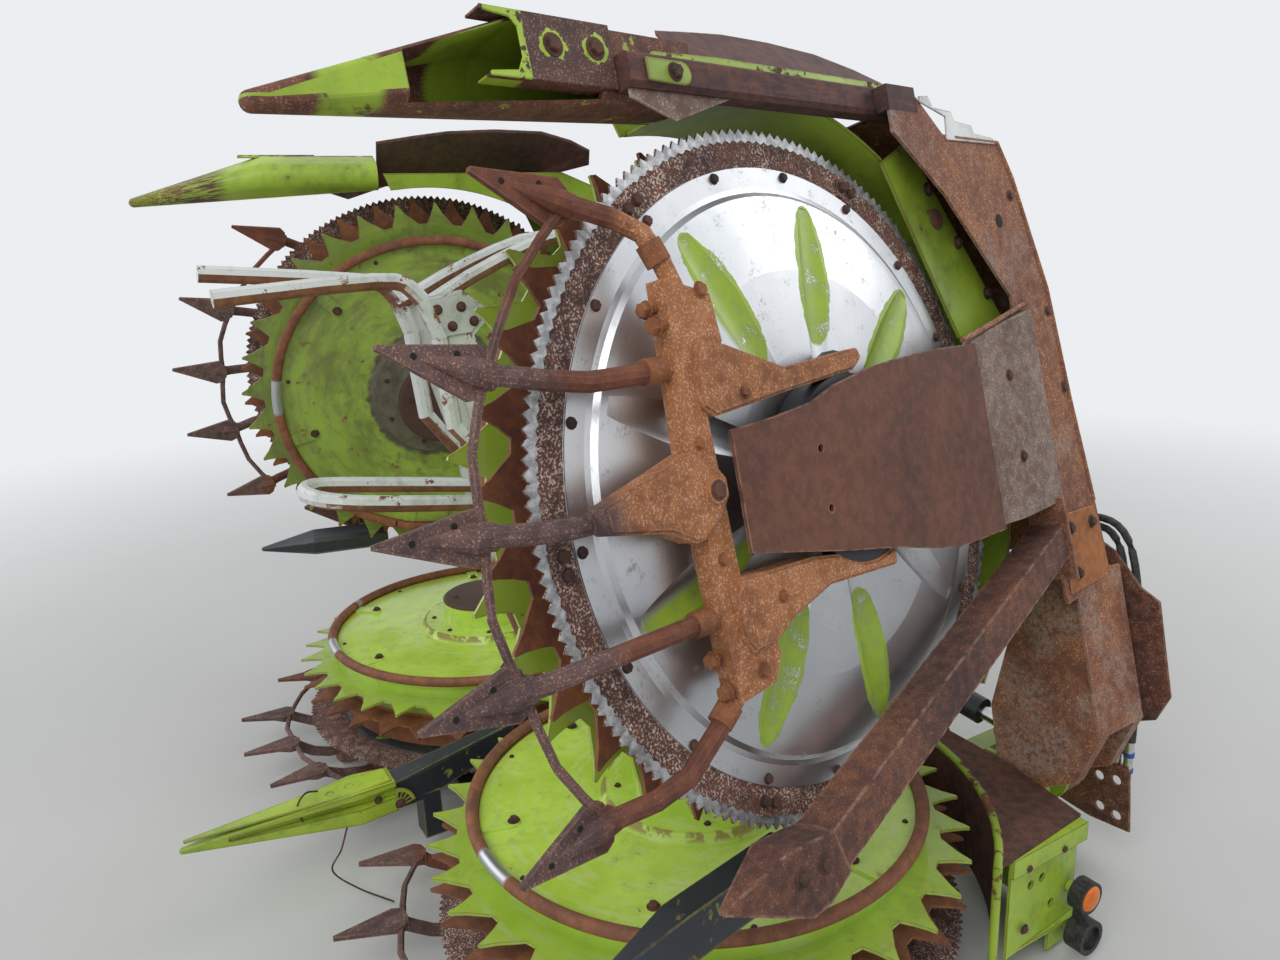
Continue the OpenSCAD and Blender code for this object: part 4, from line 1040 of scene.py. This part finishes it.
class HEADER_OT_wing_trim(bpy.types.Operator):
    """Adds the lip, plates, rolled edges and bolts of the folding wings"""

    bl_idname = "header.wing_trim"
    bl_label = "Wing plates and bolts"

    def execute(self, context):
        for unit in WINGS:
            self.channel(unit)
            self.panel(unit)
        return {"FINISHED"}

    def channel(self, unit):
        """Lip, eye and gusset of the channel beside the rotor, and the corner behind it."""
        lip = [(808, -310), (820, -296), (827, -120), (827, 440), (820, 484), (808, 490)]
        plate("channel_lip_" + unit, lip, -0.0655, -0.0595, "scraped", unit, bevel=0.0015)
        along = aimed((0.62, 0, -0.78), *[(824, y, -20) for y in (-110, 60, 205, 345, 462)])
        bolts("shield_bolts_" + unit, unit, along, 0.0105, 0.007, 0.018)
        eye = [(760, -330), *arc(780, -240, 22, 180, 0, 6), (802, -330)]
        plate("channel_eye_" + unit, eye[::-1], -0.0785, -0.0742, "guide", unit)
        bolts("eye_bolt_" + unit, unit, below(-78.5, (780, -262)), 0.013, 0.01, 0.018)
        gusset = [(775, -366), (775, -90), (749, -104), (698, -262), (735, -366)]
        plate("channel_gusset_" + unit, gusset, -0.06, -0.055, "grey_panel", unit)
        corner = below(-38, (593, 604), (460, 704), (325, 810))
        bolts("corner_bolts_" + unit, unit, corner, 0.012, 0.009, 0.018)
        plate("corner_pad_" + unit, arc(520, 619, 26, 0, 330, 11), -0.0425, -0.0382, "dark_sheet", unit)

    def panel(self, unit):
        """Plates, bolts and rolled edges on the underside of the panels behind the rotor."""
        step = [(690, 600), (745, 610), (772, 505), (786, 505), (790, 545), (764, 560)]
        step += [(760, 640), (738, 650), (732, 730), (712, 738), (706, 830), (690, 838)]
        plate("step_plate_" + unit, step, -0.1125, -0.1083, "white", unit)
        hinge = [(-286, 858), (-300, 1065), (-430, 1088), (-505, 1096), (-500, 850)]
        plate("hinge_plate_" + unit, hinge, HINGE_LOW / 1000, -0.1083, "orange", unit, bevel=0.002)
        arm = [(206, 514), (234, 640), (262, 842), (-244, 846), (-246, 640), (-238, 514)]
        plate("arm_plate_" + unit, arm, -0.1335, -0.1075, "grey_panel", unit, bevel=0.003)
        bolts("arm_bolts_" + unit, unit, below(-133.5, (108, 668), (-96, 672)), 0.011, 0.006, 0.016)
        lip = [mm(212, 470, -137), mm(243, 640, -134), mm(282, 866, -115)]
        sweeps("arm_lip_" + unit, unit, [lip], 0.0065, "panel", 8)
        rear = below(HINGE_LOW, (-330, 900), (-340, 1030), (-455, 905))
        bolts("hinge_bolts_" + unit, unit, rear, 0.013, 0.009, 0.019)
        wide = below(PANEL_LOW, (83, 865), (40, 1010), (250, 985, 0.9), (560, 880, 0.9), (-160, 880, 0.9))
        bolts("panel_bolts_" + unit, unit, wide, 0.011, 0.007, 0.017)
        # A flat dark square of painted shade stands for a hole in the panel
        hole_shade = below(PANEL_LOW, (495, 800))
        bolts("panel_hole_" + unit, unit, hole_shade, 0.017, 0.0008, finish="hole_shade", sides=4)
        edge = ((698, 640), (696, 855), (607, 905), (310, 1002), (0, 1034), (-290, 1078))
        sweeps("panel_edge_" + unit, unit, [[mm(*p, PANEL_LOW) for p in edge]], 0.006, "panel", 8)


class HEADER_OT_divider_trim(bpy.types.Operator):
    """Adds the plates, bolts and springs of the crop dividers"""

    bl_idname = "header.divider_trim"
    bl_label = "Divider plates and springs"

    def execute(self, context):
        for unit in WINGS:
            cover = [(754, -640), (762, -640), (768, -584), (790, -572), (838, -572), (852, -584)]
            cover += [(858, -640), (866, -640), (866, -371), (754, -371)]
            plate("hood_cover_" + unit, cover, -0.0425, -0.0379, "cover_" + unit, unit, bevel=0.0014)
            bolts("hood_bolts_" + unit, unit, below(-42.5, *COVER_BOLTS), 0.014, 0.009, 0.021)
            cap = below(-144, (-672, -395), (-676, -330))
            bolts("cap_bolts_" + unit, unit, cap, 0.013, 0.007, 0.02)
        self.centre()
        return {"FINISHED"}

    def centre(self):
        """Top flange, slotted end plate and spring wires of the divider between the middle rotors."""
        flange = [(-7, -1236), (7, -1236), (52, -765), (42, -650), (-42, -650), (-52, -765)]
        holes = [round_loop(4, -830, 9, 10), round_loop(-2, -770, 9, 10)]
        pivot = Matrix.Translation((0, 0.65, 0))
        slope = Matrix.Translation((0, -0.65, 0.3105)) @ Matrix.Rotation(0.018, 4, "X") @ pivot
        plate("nose_flange", flange, 0.0003, 0.0065, "nose", "fl", holes, 0.002, slope)
        y, z = -648, 228
        fan = [(-650, 225), *arc(y, z, 62, 90, 8, 7), (-640, 225)]
        slots = [arc(y, z, 50, a, a - 12, 1) + arc(y, z, 32, a - 12, a, 1) for a in (78, 60, 42, 24)]
        plate("nose_fan", fan, 0.0, 0.005, "nose", "fl", slots, 0.0, upright(0.0545))
        spots = [((0.06, -0.636, 0.238), OUT, 1.0), ((0.0535, -0.7, 0.27), (1, 0.05, 0), 0.8)]
        bolts("nose_bolts", "fl", spots, 0.012, 0.008, 0.016)
        wire = [(0.052, -0.8, 0.215), (0.075, -0.83, 0.16), (0.06, -0.86, 0.09)]
        wire += [(0.1, -0.8, 0.03), (0.19, -0.72, 0.006)]
        loop = [(0.04, -0.9, 0.225), (0.02, -0.93, 0.3), (0.0, -0.9, 0.335), (-0.02, -0.86, 0.32)]
        sweeps("divider_wires", "fl", [smooth_path(wire), smooth_path(loop)], 0.0028, "bolt", 8)


class HEADER_OT_bar_trim(bpy.types.Operator):
    """Adds the clamp plates and the bolts of the white guide bars"""

    bl_idname = "header.bar_trim"
    bl_label = "Guide bar plates"

    def execute(self, context):
        for side in SIDES:
            tag = side[1]
            gusset = [(-452, 1762), (-338, 1780), (-262, 1722), (-310, 1668), (-392, 1662)]
            plate("bar_gusset_" + tag, gusset, 0.0, 0.005, "white", side, (), 0.0015, upright(0.1342))
            clamp = ((-405, 1738), (-335, 1742), (-300, 1700), (-365, 1690))
            spots = aimed(OUT, *[(139.2, y, z) for y, z in clamp])
            bolts("bar_bolts_" + tag, side, spots, 0.01, 0.007, 0.015)
            feet = aimed(FRONT, *[(x, 884.7 - 34, z) for x in (432, 478) for z in (818, 872)])
            bolts("bar_foot_bolts_" + tag, side, feet, 0.011, 0.007, 0.016)
        return {"FINISHED"}


class HEADER_OT_rear_trim(bpy.types.Operator):
    """Adds the sleeves, clips and coupling rings of the parked hoses, and bolts of the rear guards"""

    bl_idname = "header.rear_trim"
    bl_label = "Hose fittings and rear bolts"

    def execute(self, context):
        y = 1.2272
        for x, colour in ((1.225, "red"), (1.258, "blue")):
            rings = [[(x, y, z), (x, y, z + 0.014)] for z in (0.3, 0.352)]
            sweeps("coupling_ring_" + colour, "fl", rings, 0.0155, colour, 16)
            sweeps("hose_sleeve_" + colour, "fl", [[(x, y, 0.402), (x, y, 0.455)]], 0.0152, "rubber", 14)
        clips = [[(x, 1.213, z - 0.001), (x, 1.243, z - 0.001)] for x, z in ((0.98, 1.03), (1.1, 1.055))]
        sweeps("hose_clips", "fl", clips, 0.007, "bright", 10)
        large = ((985, 960), (985, 700), (985, 420), (1240, 780), (1285, 620))
        small = ((985, 280), (985, 170), (1130, 200))
        for side in SIDES:
            spots = aimed(REAR, *[(x, GUARD_REAR, z) for x, z in large])
            spots += aimed(REAR, *[(x, GUARD_REAR, z, 0.9) for x, z in small])
            bolts("guard_bolts_" + side[1], side, spots, 0.011, 0.007, 0.017)
            feet = aimed(REAR, *[(x, 1020.2, z) for x in (600, 700, 800) for z in (45, 95)])
            bolts("beam_end_bolts_" + side[1], side, feet, 0.012, 0.008, 0.018)
        return {"FINISHED"}


class HEADER_OT_end_box_trim(bpy.types.Operator):
    """Adds the rims of the guide walls, and the amber lenses and the bolts of the end boxes"""

    bl_idname = "header.end_box_trim"
    bl_label = "Lamp lenses"

    def execute(self, context):
        for unit in ("cl", "cr"):
            top = [(*polar(0.7945, a), 0.237) for a in np.radians(np.arange(33.5, 78, 4))]
            sweeps("guide_rim_" + unit, unit, [[(*top[0][:2], -0.026), *top]], 0.011, "scraped", 10)
            self.lens("lamp_lens_" + unit, unit)
            spots = aimed(OUT, *[(661, y, z) for y, z in ((560, 10), (560, 190), (700, 190))])
            bolts("box_bolts_" + unit, unit, spots, 0.01, 0.006, 0.015)
        return {"FINISHED"}

    def lens(self, name, unit):
        """A round domed lens, from its middle out through rings of a radius and a rise."""
        rings = [(0.014, 0.0086), (0.026, 0.006), (0.034, 0.002), (0.036, 0.0)]
        count = 24
        x, y, z = LENS
        verts = [(x + 0.0095, y, z)]
        for radius, rise in rings:
            edge = [polar(radius, TURN * i / count) for i in range(count)]
            verts += [(x + rise, y + across, z + up) for across, up in edge]
        faces = [(0, 1 + i, 1 + (i + 1) % count) for i in range(count)]
        starts = [1 + k * count for k in range(len(rings))]
        for a, b in zip(starts, starts[1:]):
            faces += [(a + i, b + i, b + (i + 1) % count, a + (i + 1) % count) for i in range(count)]
        faces.append(tuple(starts[-1] + i for i in range(count)))
        add_piece(name, verts, faces, "amber", unit, "frame", 40)


# Panel and start


def colour_property(name, what, default):
    return bpy.props.FloatVectorProperty(
        name=name, description="Colour of the " + what, subtype="COLOR", default=default, min=0, max=1
    )


class HeaderColours(bpy.types.PropertyGroup):
    """Colours that a user would change"""

    lime: colour_property("Lime", "lime paint", (0.43, 0.62, 0.055))
    slate: colour_property("Slate", "dark paint", (0.035, 0.042, 0.055))
    white: colour_property("White", "guide bars", (0.7, 0.73, 0.71))


class HeaderSizes(bpy.types.PropertyGroup):
    """Sizes that a user would change"""

    edge_width: bpy.props.FloatProperty(
        name="Knife edge", description="Width of the ground edge of a knife ring", default=0.017,
        min=0.008, max=0.03, unit="LENGTH",
    )
    dish_bolt: bpy.props.FloatProperty(
        name="Dish bolt", description="Radius of a dish bolt's head", default=0.0095,
        min=0.005, max=0.015, unit="LENGTH",
    )


class HeaderLook(bpy.types.PropertyGroup):
    """Light of the stage"""

    key: bpy.props.FloatProperty(
        name="Key lamp", description="Power of the largest lamp", default=260.0, min=0, unit="POWER"
    )
    sky: bpy.props.FloatProperty(
        name="Sky", description="Strength of the even light from all around", default=0.55, min=0, max=2
    )


OPERATORS = (
    HEADER_OT_stage,
    HEADER_OT_cad_finishes,
    HEADER_OT_knife_trim,
    HEADER_OT_rotor_trim,
    HEADER_OT_finger_trim,
    HEADER_OT_wing_trim,
    HEADER_OT_divider_trim,
    HEADER_OT_bar_trim,
    HEADER_OT_rear_trim,
    HEADER_OT_end_box_trim,
)


class HEADER_PT_panel(bpy.types.Panel):
    """Shows the header's colours, sizes and light, and a button for each step, in the sidebar"""

    bl_idname = "HEADER_PT_panel"
    bl_label = "Crop header"
    bl_space_type = "VIEW_3D"
    bl_region_type = "UI"
    bl_category = "Header"

    def draw(self, context):
        for group in (context.scene.header_colours, context.scene.header_sizes, context.scene.header_look):
            for name in group.bl_rna.properties.keys():
                if name not in ("rna_type", "name"):
                    self.layout.prop(group, name)
        for operator in OPERATORS:
            self.layout.operator(operator.bl_idname)


GROUPS = {"header_colours": HeaderColours, "header_sizes": HeaderSizes, "header_look": HeaderLook}
CLASSES = (*GROUPS.values(), *OPERATORS, HEADER_PT_panel)


def register():
    for kind in CLASSES:
        bpy.utils.register_class(kind)
    for name, kind in GROUPS.items():
        setattr(bpy.types.Scene, name, bpy.props.PointerProperty(type=kind))


def unregister():
    for name in GROUPS:
        delattr(bpy.types.Scene, name)
    for kind in reversed(CLASSES):
        bpy.utils.unregister_class(kind)


def main():
    register()
    for operator in OPERATORS:
        group, name = operator.bl_idname.split(".")
        getattr(getattr(bpy.ops, group), name)()


if __name__ == "__main__":
    main()
